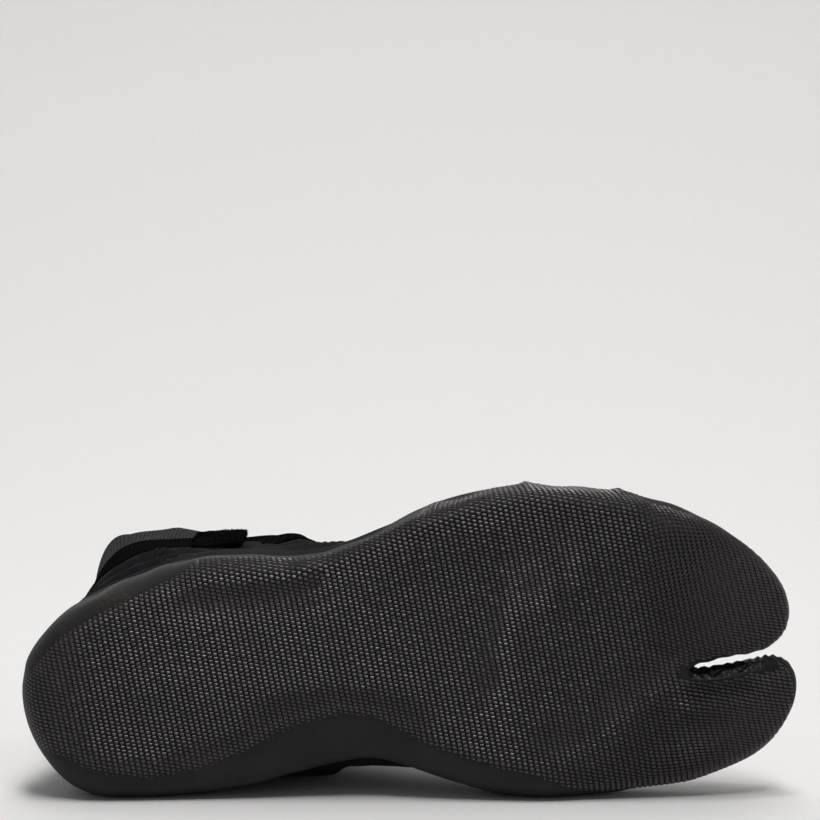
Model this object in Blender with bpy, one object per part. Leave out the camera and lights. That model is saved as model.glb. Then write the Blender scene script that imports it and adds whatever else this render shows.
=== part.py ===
"""Split-toe wetsuit boot: a right boot that lies on its big-toe side.

Sizes are millimetres in the boot's own frame: x runs from the back of the heel to the toes,
y towards the big-toe (medial) side, and z from the tread up to the collar. An empty lays the
finished boot on its side, so that y = FLOOR_REACH becomes the floor.

Every piece is cut from one form. The tables give the outside of the rubber, and a layer is the
distance from there: zero is the rubber's outer face, and a negative layer lies deeper inside.
"""

import math

import bmesh
import bpy
import numpy as np

MM = 0.001

# Driving sizes
COLLAR_HEIGHT = 130.0  # tread to the top edge of the cuff
FLOOR_REACH = 47.7  # heel-to-split axis to the floor, on the big-toe side
SPLIT_X = 246.0  # base of the slit between the toes
BIG_TOE_TIP = 286.5  # this is the boot's length
SMALL_TOES_TIP = 283.5
RUBBER = 2.0
NEOPRENE = 3.0
SEAT = 0.3  # space that two glued faces keep
INSOLE_SEAT = 0.5
STRAP_THICKNESS = 1.5
STRAP_SEAT = 0.8
STRAP_LOW = 70.0  # lower edge of the strap, where its path meets x = 0
STRAP_WIDTH = 24.0
STRAP_TILT = 0.21  # the strap climbs this much from back to front
TAB_THICKNESS = 2.4
TAB_BACK = 55.0
TAB_FRONT = 75.0
TAB_OVERHANG = 2.5
HEEL_WARP = 40.0  # length over which the sections bend round the heel
TOE_WARP = 30.0
SLIT_WARP = 10.0
TIP_BLEND = 15.0
ANKLE_REACH = 90.0  # sole length that lies under the collar
VAMP_X = 150.0  # the sections are upright in front of here

# Layers, measured outwards from the rubber's outer face
SOLE_OUT = 0.0
SOLE_IN = SOLE_OUT - RUBBER
UPPER_OUT = SOLE_IN - SEAT
UPPER_IN = UPPER_OUT - NEOPRENE
STRAP_IN = UPPER_OUT + STRAP_SEAT
STRAP_OUT = STRAP_IN + STRAP_THICKNESS
TAB_IN = STRAP_OUT + SEAT
TAB_OUT = TAB_IN + TAB_THICKNESS

# Mesh density
CORNER_STEPS = 3
WALL_STEPS = 3
SIDE_STEPS = 8
RUNG_STEPS = 4
COLLAR_COLUMNS = 15
INSTEP_COLUMNS = 8
VAMP_COLUMNS = 11
TOE_COLUMNS = 8
STRAP_STEPS = 20
STRAP_ROWS = 4
TAB_STEPS = 6


def table(names, *rows):
    """A short table with named columns, one row for each section."""
    return {name: np.array(values, float) for name, values in zip(names.split(), zip(*rows))}


# Half-widths from the axis to the outside of the foot. Above the arch the medial side fills out.
PLAN = table(
    "x medial medial_high lateral",
    (0, 47.7, 47.7, 12.0),
    (13, 47.7, 47.7, 22.5),
    (24, 48.0, 48.0, 27.0),
    (41, 48.4, 48.4, 32.5),
    (63, 47.2, 47.7, 40.5),
    (91, 42.2, 47.0, 42.5),
    (104, 38.2, 46.5, 41.5),
    (128, 33.7, 46.0, 48.5),
    (148, 38.7, 46.2, 58.0),
    (170, 45.7, 47.0, 64.5),
    (190, 48.3, 48.3, 67.5),
    (205, 48.4, 48.4, 66.5),
    (226, 45.4, 45.4, 63.3),
    (246, 40.6, 40.6, 57.8),
    (287, 20.0, 20.0, 40.0),
)

# The two lobes, as places along y: outer walls, ridges, and the slit's middle and half-width.
# Towards the tips the walls' lines cross, because the tips' rounding draws them apart again.
TOES = table(
    "x big_outer big_ridge slit slit_half small_ridge small_outer",
    (246.0, 40.6, 0.0, 0.0, 1.7, 0.0, -57.8),
    (247.2, 40.2, 8.0, -0.2, 1.8, -8.5, -57.3),
    (249.5, 39.3, 11.5, -0.6, 2.1, -13.5, -56.3),
    (259.0, 35.7, 14.0, -2.4, 2.8, -20.5, -51.8),
    (269.0, 31.3, 14.5, -4.0, 2.4, -24.0, -46.4),
    (278.5, 25.4, 10.0, -4.7, -0.1, -22.5, -41.6),
    (286.5, 19.0, 5.0, -3.8, -5.0, -19.0, -40.0),
)
SLIT_OFFSETS = (0.0, 1.2, 3.5)  # first columns of each lobe, in front of the slit's base

# Tread height, rise of the medial arch, bottom corner, and how high the rubber wraps each side
SOLE = table(
    "x tread arch corner medial_wrap lateral_wrap margin",
    (0, 1.5, 0.0, 9.0, 27.0, 27.0, 8.0),
    (24, 0.0, 0.0, 9.0, 25.0, 24.0, 8.0),
    (45, 0.0, 0.6, 9.0, 21.0, 19.0, 8.0),
    (70, 0.0, 2.0, 8.0, 16.0, 13.5, 8.0),
    (100, 0.0, 3.0, 6.5, 12.5, 10.5, 8.0),
    (124, 0.0, 3.0, 6.5, 12.5, 14.0, 8.0),
    (150, 0.0, 1.6, 8.0, 18.0, 27.0, 8.0),
    (190, 0.0, 0.0, 9.0, 23.0, 28.0, 8.0),
    (226, 0.5, 0.0, 9.0, 22.0, 25.0, 6.0),
    (246, 1.8, 0.0, 8.5, 20.0, 21.0, 3.5),
    (266, 4.6, 0.0, 8.0, 16.0, 16.0, 3.0),
    (278, 7.0, 0.0, 6.0, 11.0, 11.0, 2.5),
    (287, 9.5, 0.0, 4.0, 5.0, 5.0, 2.0),
)

# Top line from the collar's front down the instep to the split, with the breadth of its rounding
INSTEP = table(
    "x z",
    (109.5, 130.0),
    (110.0, 115.0),
    (113.0, 101.0),
    (121.0, 90.0),
    (135.0, 79.5),
    (150.0, 71.0),
    (180.0, 57.0),
    (210.0, 46.0),
    (233.0, 39.0),
    (246.0, 35.5),
)
BIG_TOE_TOP = table(
    "x z", (246, 35.5), (257, 33.2), (268, 30.2), (277, 26.8), (283.5, 22.8), (286.5, 18.5)
)
SMALL_TOE_TOP = table(
    "x z", (246, 35.5), (256, 31.3), (266, 27.7), (275, 24.2), (280.5, 21.2), (283.5, 17.5)
)
CROWN = table(
    "x breadth",
    (105, 26),
    (125, 34),
    (150, 36),
    (190, 31),
    (226, 25),
    (246, 21),
    (262, 16),
    (276, 12),
    (287, 7),
)

# Back of the heel and shaft, and how quickly each side opens from it
BACK = table(
    "z x medial_opening lateral_opening",
    (0, 2.5, 31, 38),
    (12, 0.3, 31, 38),
    (24, 0.0, 31, 38),
    (36, 1.2, 32, 38),
    (50, 4.6, 34, 38),
    (65, 8.0, 36, 37),
    (85, 10.0, 38, 32),
    (105, 8.8, 36, 23),
    (130, 4.5, 30, 17),
)

# Half-widths of the ankle and shaft
SHAFT = table(
    "z medial lateral",
    (30, 45.7, 37.0),
    (60, 45.3, 37.5),
    (84, 46.3, 38.4),
    (106, 47.0, 38.8),
    (118, 47.4, 40.6),
    (126, 50.3, 41.2),
    (130, 50.6, 41.2),
)

FLARE = {"medial": 1.0, "lateral": 2.2, "big_inner": 0.5, "small_inner": 0.5}
FLARE_HEIGHT = 20.0
SLIT_ROUND = 2.5
SLIT_CORNER = 5.0
LEAST_CORNER = 0.4
STEEPEST = 0.8  # a steeper top line than this doesn't thicken an upright section further
SLIT_WRAP = 7.0
ROUNDNESS = 2.1  # 2 is an ellipse
ANKLE_BLEND = (45.0, 80.0)  # heights between which the foot becomes the shaft
VAMP_BLEND = (95.0, 140.0)
CUFF_BLEND = (60.0, 100.0)  # the cuff, which has no rubber on it, comes down to the floor
ARCH_FILL = (12.0, 36.0)  # heights between which the side fills out above the arch


def smooth(at, xs, ys):
    """A smooth curve through a table's points that never overshoots them."""
    step = np.diff(xs)
    slope = np.diff(ys) / step
    tangent = np.zeros(len(xs))
    tangent[0], tangent[-1] = slope[0], slope[-1]
    for i in range(1, len(xs) - 1):
        if slope[i - 1] * slope[i] > 0:
            heavy, light = 2 * step[i] + step[i - 1], step[i] + 2 * step[i - 1]
            tangent[i] = (heavy + light) / (heavy / slope[i - 1] + light / slope[i])
    at = np.clip(at, xs[0], xs[-1])
    i = np.clip(np.searchsorted(xs, at, side="right") - 1, 0, len(xs) - 2)
    t = (at - xs[i]) / step[i]
    start = ys[i] * (1 + 2 * t) + tangent[i] * step[i] * t
    end = ys[i + 1] * (3 - 2 * t) + tangent[i + 1] * step[i] * (t - 1)
    return start * (1 - t) ** 2 + end * t**2


def read(source, name, at, key="x"):
    return float(smooth(np.array(float(at)), source[key], source[name]))


def ease(value, low, high):
    t = min(max((value - low) / (high - low), 0.0), 1.0)
    return t * t * (3 - 2 * t)


def rounding(share, power=ROUNDNESS):
    """Nought at an edge, rising to one like the quarter of an ellipse."""
    share = min(max(share, 0.0), 1.0)
    return (1 - (1 - share) ** power) ** (1 / power)


def ridge_line(*parts):
    """A dense line of (x, z) points along the boot's top."""
    points = []
    for part in parts:
        length = np.concatenate(([0], np.cumsum(np.hypot(np.diff(part["x"]), np.diff(part["z"])))))
        along = np.arange(0, length[-1], 0.5)
        points += list(zip(smooth(along, length, part["x"]), smooth(along, length, part["z"])))
        points.append((part["x"][-1], part["z"][-1]))
    return np.array(points)


def ground(x, y):
    """Height of the tread, which rises to the arch on the medial side."""
    edge = read(PLAN, "medial", x) - read(SOLE, "corner", x)
    return read(SOLE, "tread", x) + read(SOLE, "arch", x) * ease(y, 0.0, edge)


class Wall:
    """One side of the boot: where it reaches, and the ridge and tip that it rounds off to."""

    def __init__(self, name, sign, lobe, tip, tip_opening, ridge):
        self.name = name
        self.sign = sign
        self.lobe = lobe
        self.side = "lateral" if lobe == "small" else "medial"
        self.tip = tip
        self.tip_opening = tip_opening
        self.ridge = ridge
        self.in_slit = name.endswith("inner")

    def ridge_y(self, station):
        return read(TOES, self.lobe + "_ridge", station) if station > SPLIT_X else 0.0

    def reach(self, station, x, z, depth):
        """Distance from the ridge to this side, for an outline moved out by depth."""
        if self.in_slit:
            base = rounding((x - SPLIT_X - depth) / (SLIT_ROUND - depth))
            half = (read(TOES, "slit_half", x) - depth) * base
            wall = read(TOES, "slit", x) - self.sign * half
            return self.sign * (wall - self.ridge_y(station))
        if station > SPLIT_X:
            return self.sign * (read(TOES, self.lobe + "_outer", x) - self.ridge_y(station)) + depth
        foot = read(PLAN, self.name, x)
        if self.name == "medial":
            foot += (read(PLAN, "medial_high", x) - foot) * ease(z, *ARCH_FILL)
        shaft = read(SHAFT, self.name, z, "z")
        share = ease(z, *ANKLE_BLEND) * (1 - ease(x, *VAMP_BLEND))
        return foot + (shaft - foot) * share + depth

    def at_tip(self, station, slit_value, outer_value):
        """Along the slit a size of its own, which meets the outer wall's at the tip."""
        if not self.in_slit:
            return outer_value
        return slit_value + (outer_value - slit_value) * ease(station, self.tip - TIP_BLEND, self.tip)

    def corner(self, station):
        return self.at_tip(station, SLIT_CORNER, read(SOLE, "corner", station))

    def wrap(self, station):
        """How high the rubber climbs this side."""
        return self.at_tip(station, SLIT_WRAP, read(SOLE, self.side + "_wrap", station))

    def tread(self, station):
        return ground(station, read(PLAN, "medial", station) if self.name == "medial" else 0.0)

    def bend(self, station, z, depth):
        """Length along the boot, bent so that the sections close round heel, toe and slit."""
        heel = max(1 - station / HEEL_WARP, 0)
        slit = max(1 - (station - SPLIT_X) / SLIT_WARP, 0) if self.in_slit else 0
        return self.bend_toe(station, depth) + heel * (read(BACK, "x", z, "z") - depth) + slit * depth

    def bend_toe(self, station, depth):
        return station + depth * max(1 - (self.tip - station) / TOE_WARP, 0)

    def bend_top(self, station, layer):
        slit = max(1 - abs(station - SPLIT_X) / SLIT_WARP, 0)
        return self.bend_toe(station, layer) + slit * layer

    def below_top(self, station, x, z, layer):
        """Distance from a place on this side, seen from the side, to the layer's top line."""
        if station < VAMP_X:
            return float(np.min(np.hypot(self.ridge[:, 0] - x, self.ridge[:, 1] - z))) + layer
        top, level = self.upright_top(station, layer)
        return (top - z) * level

    def upright_top(self, station, layer):
        """Height of an upright section at one layer, and how level its top line is."""
        ridge = self.ridge if station > SPLIT_X else MAIN_RIDGE
        x = self.bend_top(station, layer)
        i = int(np.argmin(np.abs(ridge[:, 0] - x)))
        ahead = ridge[min(i + 2, len(ridge) - 1)] - ridge[max(i - 2, 0)]
        level = max(float(ahead[0] / np.hypot(*ahead)), STEEPEST)
        return float(np.interp(x, ridge[:, 0], ridge[:, 1])) + layer / level, level

    def place(self, station, x, z, inset, layer, closed=False):
        """The point of this side at length x and height z, drawn in by inset."""
        depth = layer - inset
        width = self.reach(station, x, z, depth)
        rise = min(max((z - self.tread(station)) / FLARE_HEIGHT, 0), 1)
        width -= 0 if self.in_slit else FLARE[self.name] * (1 - rise) ** 2
        opening = read(BACK, self.side + "_opening", z, "z") + depth
        width = max(width, 0) * rounding((x - read(BACK, "x", z, "z") + depth) / opening)
        if station > SPLIT_X:
            width *= rounding((self.tip + depth - x) / max(self.tip_opening + depth, SLIT_ROUND))
        width *= rounding(self.below_top(station, x, z, layer) / (read(CROWN, "breadth", x) + layer))
        y = self.ridge_y(station) + (0 if closed else self.sign * width)
        floor = FLOOR_REACH + layer + (SOLE_OUT - UPPER_OUT) * ease(z, *CUFF_BLEND)
        return (x, min(y, floor), z)


MAIN_RIDGE = ridge_line(INSTEP)
BIG_RIDGE = ridge_line(INSTEP, BIG_TOE_TOP)
SMALL_RIDGE = ridge_line(INSTEP, SMALL_TOE_TOP)
MEDIAL = Wall("medial", 1, "big", BIG_TOE_TIP, 20.0, BIG_RIDGE)
LATERAL = Wall("lateral", -1, "small", SMALL_TOES_TIP, 24.0, SMALL_RIDGE)
BIG_INNER = Wall("big_inner", -1, "big", BIG_TOE_TIP, 20.0, BIG_RIDGE)
SMALL_INNER = Wall("small_inner", 1, "small", SMALL_TOES_TIP, 24.0, SMALL_RIDGE)


class Column:
    """A line of points up one side: from the tread at x to a place on the collar or the ridge."""

    def __init__(self, x, top, closed, heel=False, tip=False):
        self.x = x
        self.top = top
        self.closed = closed
        self.heel = heel
        self.tip = tip


def columns_of_foot():
    """The columns from the back of the heel to the base of the slit."""
    found = []
    back, front = read(BACK, "x", COLLAR_HEIGHT, "z"), INSTEP["x"][0]
    for i in range(COLLAR_COLUMNS):
        share = i / COLLAR_COLUMNS
        x = ANKLE_REACH * (1 - math.cos(share * math.pi / 2))
        top = (back + front) / 2 - (front - back) / 2 * math.cos(share * math.pi)
        found.append(Column(x, (top, COLLAR_HEIGHT), False, heel=i == 0))
    length = np.concatenate(([0], np.cumsum(np.hypot(*np.diff(MAIN_RIDGE, axis=0).T))))
    vamp = float(np.interp(VAMP_X, MAIN_RIDGE[:, 0], length))
    for i in range(INSTEP_COLUMNS):
        share = i / INSTEP_COLUMNS
        top = [float(np.interp(vamp * share, length, MAIN_RIDGE[:, k])) for k in (0, 1)]
        found.append(Column(ANKLE_REACH + (VAMP_X - ANKLE_REACH) * share, tuple(top), True))
    for x in np.linspace(VAMP_X, SPLIT_X, VAMP_COLUMNS):
        found.append(Column(float(x), (float(x), float(smooth(x, INSTEP["x"], INSTEP["z"]))), True))
    return found


def columns_of_toe(wall, top):
    """The columns from the base of the slit to the tip of one lobe, closer together at both ends."""
    start = SPLIT_X + SLIT_OFFSETS[-1]
    lengths = [SPLIT_X + offset for offset in SLIT_OFFSETS[:-1]]
    for i in range(TOE_COLUMNS + 1):
        lengths.append(start + (wall.tip - start) * math.sin(i / TOE_COLUMNS * math.pi / 2))
    found = [Column(x, (x, read(top, "z", x)), True) for x in lengths]
    found[-1].tip = True
    return found


def lower_column(wall, column, layer):
    """Points of one side from the flat of the tread round its corner to the rubber's edge."""
    station = column.x
    radius = max(wall.corner(station) + layer, LEAST_CORNER)
    ground = wall.tread(wall.bend_toe(station, layer))
    base = ground - layer
    shut = column.heel or column.tip
    points = []
    for i in range(CORNER_STEPS + 1):
        angle = i / CORNER_STEPS * math.pi / 2
        inset = radius * (1 - math.sin(angle))
        z = base + radius * (1 - math.cos(angle))
        points.append(wall.place(station, wall.bend(station, z, layer - inset), z, inset, layer, shut))
    low = base + radius
    edge = max(ground + wall.wrap(station), low + LEAST_CORNER)
    for i in range(1, WALL_STEPS + 1):
        z = low + (edge - low) * i / WALL_STEPS
        points.append(wall.place(station, wall.bend(station, z, layer), z, 0, layer, shut))
    return points


def top_of(wall, column, layer):
    """The column's upper end, moved in to its layer."""
    x, z = column.top
    if not column.closed:
        back, front = read(BACK, "x", COLLAR_HEIGHT, "z"), INSTEP["x"][0]
        middle = (back + front) / 2
        return (middle + (x - middle) * (1 + layer / (front - middle)), z)
    if z >= COLLAR_HEIGHT:
        return (x + layer, z)
    if column.x >= VAMP_X:
        return (wall.bend_top(column.x, layer), wall.upright_top(column.x, layer)[0])
    i = int(np.argmin(np.hypot(MAIN_RIDGE[:, 0] - x, MAIN_RIDGE[:, 1] - z)))
    ahead = MAIN_RIDGE[i + 2] - MAIN_RIDGE[max(i - 2, 0)]
    ahead = ahead / np.hypot(*ahead)
    return (x - layer * float(ahead[1]), z + layer * float(ahead[0]))


def upper_column(wall, column, layer):
    """Points of one side from the rubber's edge up to the collar or the ridge."""
    start_x, _, start_z = lower_column(wall, column, layer)[-1]
    end_x, end_z = top_of(wall, column, layer)
    end_z = max(end_z, start_z + LEAST_CORNER)
    follow = max(1 - column.x / ANKLE_REACH, 0) ** 2
    back_start, back_end = (read(BACK, "x", z, "z") for z in (start_z, end_z))
    points = []
    for i in range(1, SIDE_STEPS + 1):
        share = i / SIDE_STEPS
        share += (math.sin(share * math.pi / 2) - share) * ease(column.x, ANKLE_REACH / 2, ANKLE_REACH)
        z = start_z + (end_z - start_z) * share
        swing = read(BACK, "x", z, "z") - back_start - (back_end - back_start) * share
        x = start_x + (end_x - start_x) * share + follow * swing
        shut = column.heel or column.tip or (column.closed and i == SIDE_STEPS)
        points.append(wall.place(column.x, x, z, 0, layer, shut))
    return points


def turned_edge(wall, column, layer, extra=0.0):
    """The point where the upper's edge, turned in under the foot, ends."""
    station = column.x
    inset = max(wall.corner(station) + layer, LEAST_CORNER) + read(SOLE, "margin", station) + extra
    length = wall.bend_toe(station, layer)
    z = wall.tread(length) - layer
    x = wall.bend(station, z, layer - inset)
    x, y, z = wall.place(station, x, z, inset, layer, column.heel or column.tip)
    return (x, y, ground(length, y) - layer)


def rung(first, last, length, layer, from_slit):
    """Points across the tread to another place, without that last one, square to the slit's side."""
    points = [first]
    for i in range(1, RUNG_STEPS):
        share = i / RUNG_STEPS
        lag = share**2 if from_slit else 1 - (1 - share) ** 2
        x, y = (first[k] + (last[k] - first[k]) * t for k, t in ((0, lag), (1, share)))
        points.append((x, y, ground(length, y) - layer))
    return points


def tread_grids(layer, side):
    """Grids across the tread: the foot, then two lobes. A side gives a wall's points, lowest first."""

    def across(low_wall, high_wall, column):
        low, high = side(low_wall, column, layer), side(high_wall, column, layer)
        return low[:0:-1], low[0], high[0], high

    grids = []
    foot = []
    slit = side(BIG_INNER, BIG_COLUMNS[0], layer)[0]
    for column in FOOT_COLUMNS:
        low, first, last, high = across(LATERAL, MEDIAL, column)
        pull = max(1 - (SPLIT_X - column.x) / TOE_WARP, 0) ** 2
        x = (first[0] + last[0]) / 2
        centre = (x + (slit[0] - SPLIT_X) * pull, 0.0, first[2])
        centre = slit if column.x == SPLIT_X else centre
        halves = rung(first, centre, column.x, layer, False) + rung(centre, last, column.x, layer, True)
        foot.append(low + halves + high)
    grids.append(foot)
    for low_wall, high_wall, columns in (
        (BIG_INNER, MEDIAL, BIG_COLUMNS),
        (LATERAL, SMALL_INNER, SMALL_COLUMNS),
    ):
        lobe = []
        for column in columns:
            low, first, last, high = across(low_wall, high_wall, column)
            length = high_wall.bend_toe(column.x, layer)
            lobe.append(low + rung(first, last, length, layer, low_wall is BIG_INNER) + high)
        grids.append(lobe)
    return grids


def sole_grids(layer):
    return tread_grids(layer, lower_column)


def insole_grids(layer):
    """The panel that fills the opening under the foot."""
    return tread_grids(layer, lambda wall, column, at: [turned_edge(wall, column, at, INSOLE_SEAT)])


def upper_grids(layer):
    """The sock at one layer, one grid for each wall."""

    def up(wall, columns, outward):
        grid = []
        for column in columns:
            lower = lower_column(wall, column, layer)
            grid.append([turned_edge(wall, column, layer)] + lower + upper_column(wall, column, layer))
        return grid if outward else [points[::-1] for points in grid]

    return [
        up(MEDIAL, FOOT_COLUMNS, True),
        up(LATERAL, FOOT_COLUMNS, False),
        up(MEDIAL, BIG_COLUMNS, True),
        up(BIG_INNER, BIG_COLUMNS, False),
        up(SMALL_INNER, SMALL_COLUMNS, True),
        up(LATERAL, SMALL_COLUMNS, False),
    ]


def strap_point(wall, share, rise, layer):
    """A point of the strap's path: share runs from the back of the shaft to its front."""
    path = STRAP_LOW + rise + STRAP_TILT * MAIN_RIDGE[:, 0]
    front = float(np.interp(0, path - MAIN_RIDGE[:, 1], MAIN_RIDGE[:, 0])) + layer
    back = read(BACK, "x", STRAP_LOW + rise, "z") - layer
    x = (back + front) / 2 - (front - back) / 2 * math.cos(share * math.pi)
    return wall.place(x, x, STRAP_LOW + rise + STRAP_TILT * x, 0, layer, share in (0, 1))


def strap_grids(layer):
    """A band round the ankle: along the medial side to the front, and home along the lateral side."""
    rises = np.linspace(0, STRAP_WIDTH, STRAP_ROWS)
    turn = [(MEDIAL, i / STRAP_STEPS) for i in range(STRAP_STEPS)]
    turn += [(LATERAL, 1 - i / STRAP_STEPS) for i in range(STRAP_STEPS + 1)]
    return [[[strap_point(wall, share, rise, layer) for rise in rises] for wall, share in turn]]


def tab_grids(layer):
    """The strap's fastening end, bent to the lateral side of the ankle."""
    rises = np.linspace(-TAB_OVERHANG, STRAP_WIDTH + TAB_OVERHANG, STRAP_ROWS)
    grid = []
    for x in np.linspace(TAB_BACK, TAB_FRONT, TAB_STEPS):
        grid.append([LATERAL.place(x, x, STRAP_LOW + rise + STRAP_TILT * x, 0, layer) for rise in rises])
    return [grid]


def shell(name, outer, inner, colour, roughness):
    """A closed wall between two like sets of grids, joined along their open edges."""
    index, outside, inside, faces = {}, [], [], []
    for out_grid, in_grid in zip(outer, inner):
        numbers = []
        for out_line, in_line in zip(out_grid, in_grid):
            line = []
            for point, behind in zip(out_line, in_line):
                key = tuple(round(value, 3) + 0.0 for value in point)
                if key not in index:
                    index[key] = len(outside)
                    outside.append(point)
                    inside.append(behind)
                line.append(index[key])
            numbers.append(line)
        for a, b in zip(numbers, numbers[1:]):
            for i in range(len(a) - 1):
                for corners in ((a[i], b[i], b[i + 1]), (a[i], b[i + 1], a[i + 1])):
                    if len(set(corners)) == 3:
                        faces.append(corners)
    count = len(outside)
    edges = {(face[i - 1], face[i]) for face in faces for i in range(len(face))}
    rim = [(b, a, a + count, b + count) for a, b in edges if (b, a) not in edges]
    behind = [[corner + count for corner in face[::-1]] for face in faces]
    mesh = bpy.data.meshes.new(name)
    mesh.from_pydata([tuple(v * MM for v in p) for p in outside + inside], [], faces + behind + rim)
    solid = bmesh.new()
    solid.from_mesh(mesh)
    bmesh.ops.recalc_face_normals(solid, faces=solid.faces)
    solid.to_mesh(mesh)
    solid.free()
    mesh.shade_smooth()
    mesh.set_sharp_from_angle(angle=math.radians(40))
    thing = bpy.data.objects.new(name, mesh)
    bpy.context.scene.collection.objects.link(thing)
    thing.parent = LAID_DOWN
    material = bpy.data.materials.new(name)
    material.use_nodes = True
    shader = material.node_tree.nodes["Principled BSDF"]
    shader.inputs["Base Color"].default_value = (*colour, 1.0)
    shader.inputs["Roughness"].default_value = roughness
    mesh.materials.append(material)
    return thing


for leftover in list(bpy.data.objects):
    bpy.data.objects.remove(leftover, do_unlink=True)

LAID_DOWN = bpy.data.objects.new("boot_on_its_side", None)
LAID_DOWN.rotation_euler = (-math.pi / 2, 0.0, 0.0)
LAID_DOWN.location = (-BIG_TOE_TIP / 2 * MM, -COLLAR_HEIGHT / 2 * MM, FLOOR_REACH * MM)
bpy.context.scene.collection.objects.link(LAID_DOWN)

FOOT_COLUMNS = columns_of_foot()
BIG_COLUMNS = columns_of_toe(MEDIAL, BIG_TOE_TOP)
SMALL_COLUMNS = columns_of_toe(LATERAL, SMALL_TOE_TOP)

shell("outsole", sole_grids(SOLE_OUT), sole_grids(SOLE_IN), (0.022, 0.021, 0.021), 0.55)
shell("upper", upper_grids(UPPER_OUT), upper_grids(UPPER_IN), (0.014, 0.014, 0.015), 0.75)
shell("insole", insole_grids(UPPER_OUT), insole_grids(UPPER_IN), (0.02, 0.02, 0.022), 0.85)
shell("ankle_strap", strap_grids(STRAP_OUT), strap_grids(STRAP_IN), (0.006, 0.006, 0.006), 0.7)
shell("strap_tab", tab_grids(TAB_OUT), tab_grids(TAB_IN), (0.003, 0.003, 0.003), 0.9)
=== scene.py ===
# %% [markdown]
# # A split-toe wetsuit boot, lying on its side
#
# This lesson dresses a boot that was modelled as plain solids: a rubber sole that is cupped up
# the sides of the foot, a hollow neoprene upper, an insole, an ankle strap and the strap's
# hook-and-loop end. The solids fix every size and place. Here each one gets its real surface:
# thousands of tread bumps, folds in the neoprene, a ribbed cuff, woven webbing and looped pile.

import math

import bmesh
import bpy
import numpy as np
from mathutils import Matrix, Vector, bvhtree, kdtree


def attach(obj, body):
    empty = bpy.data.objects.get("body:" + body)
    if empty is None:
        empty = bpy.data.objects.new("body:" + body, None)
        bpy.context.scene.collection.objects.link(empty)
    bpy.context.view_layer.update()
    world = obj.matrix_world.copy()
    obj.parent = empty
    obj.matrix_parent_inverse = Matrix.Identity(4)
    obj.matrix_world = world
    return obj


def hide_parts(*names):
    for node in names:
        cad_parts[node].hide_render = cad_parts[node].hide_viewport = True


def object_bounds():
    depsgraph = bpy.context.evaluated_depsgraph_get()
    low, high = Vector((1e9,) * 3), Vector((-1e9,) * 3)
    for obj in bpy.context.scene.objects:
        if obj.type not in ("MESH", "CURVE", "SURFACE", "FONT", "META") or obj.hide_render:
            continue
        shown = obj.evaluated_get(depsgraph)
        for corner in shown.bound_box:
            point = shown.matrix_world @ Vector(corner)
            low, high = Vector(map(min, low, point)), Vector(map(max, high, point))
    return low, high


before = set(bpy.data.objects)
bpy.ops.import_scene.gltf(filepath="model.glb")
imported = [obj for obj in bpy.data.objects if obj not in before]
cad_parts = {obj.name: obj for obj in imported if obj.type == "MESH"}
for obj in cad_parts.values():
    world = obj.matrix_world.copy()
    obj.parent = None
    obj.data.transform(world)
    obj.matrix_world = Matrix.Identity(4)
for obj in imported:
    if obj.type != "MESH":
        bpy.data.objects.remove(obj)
cad_low, cad_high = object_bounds()
print("solids:", sorted(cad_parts), "box:", [round(v, 4) for v in cad_high - cad_low])

# %% [markdown]
# ## The boot's own sizes
#
# The boot lies on its big-toe side, but a shoemaker thinks of it standing up. So places on it are
# given in the boot's own millimetres: x runs from the heel to the toes, y from the middle of the
# foot towards the big-toe side, and z from the tread up to the collar. Two small functions turn
# one set of numbers into the other and back.

# %% Boot millimetres
MM = 0.001
AXIS_ABOVE_FLOOR = 47.7


def to_boot(points):
    """Boot millimetres of points in the scene."""
    points = np.asarray(points)
    x = (points[:, 0] - cad_low.x) / MM
    y = AXIS_ABOVE_FLOOR - points[:, 2] / MM
    z = (points[:, 1] - cad_low.y) / MM
    return np.stack([x, y, z], 1)


def to_scene(boot):
    """Scene places of boot millimetres."""
    boot = np.asarray(boot, float)
    x = cad_low.x + boot[:, 0] * MM
    y = cad_low.y + boot[:, 2] * MM
    z = (AXIS_ABOVE_FLOOR - boot[:, 1]) * MM
    return np.stack([x, y, z], 1)


def turn_to_boot(directions):
    """The same for directions, which have no place."""
    return np.stack([directions[:, 0], -directions[:, 2], directions[:, 1]], 1)


def turn_to_scene(directions):
    return np.stack([directions[:, 0], directions[:, 2], -directions[:, 1]], 1)


def ease(value, low, high):
    """A soft step from nought to one."""
    t = np.clip((np.asarray(value, float) - low) / (high - low), 0, 1)
    return t * t * (3 - 2 * t)


def hill(distance, width):
    """A rounded hill: one in its middle, and nearly nought two widths away."""
    return np.exp(-((distance / width) ** 2))


def metres(sizes):
    """A few sizes in millimetres, in metres."""
    return tuple(size * MM for size in sizes)


def away(places, line):
    """The distance of flat places from a line that is drawn through a few points."""
    best = np.full(len(places), np.inf)
    for start, end in zip(line, line[1:]):
        start, along = np.array(start, float), np.array(end, float) - np.array(start, float)
        share = np.clip((places - start) @ along / (along @ along), 0, 1)
        best = np.minimum(best, np.linalg.norm(places - start - share[:, None] * along, axis=1))
    return best


print("boot length", round((cad_high.x - cad_low.x) / MM, 1), "mm")

# %% [markdown]
# ## Camera, floor and light
#
# The picture is taken with a short telephoto lens, low and square to the sole. A real studio
# uses a paper roll that curves up behind the object, so that no horizon shows. A sheet bent the
# same way does that here. The light is two soft boxes, one overhead and one high in front, which
# pick out the top of every bump, a weaker one for the paper behind, and a dim room all round.

# %% Camera
LENS = 85.0
CAMERA_HEIGHT = 0.182
CAMERA_TO_SOLE = 0.696
LOOK_DOWN = math.radians(3.17)


def put(name, data):
    """Puts a new object with this data into the scene."""
    thing = bpy.data.objects.new(name, data)
    bpy.context.scene.collection.objects.link(thing)
    return thing


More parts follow.
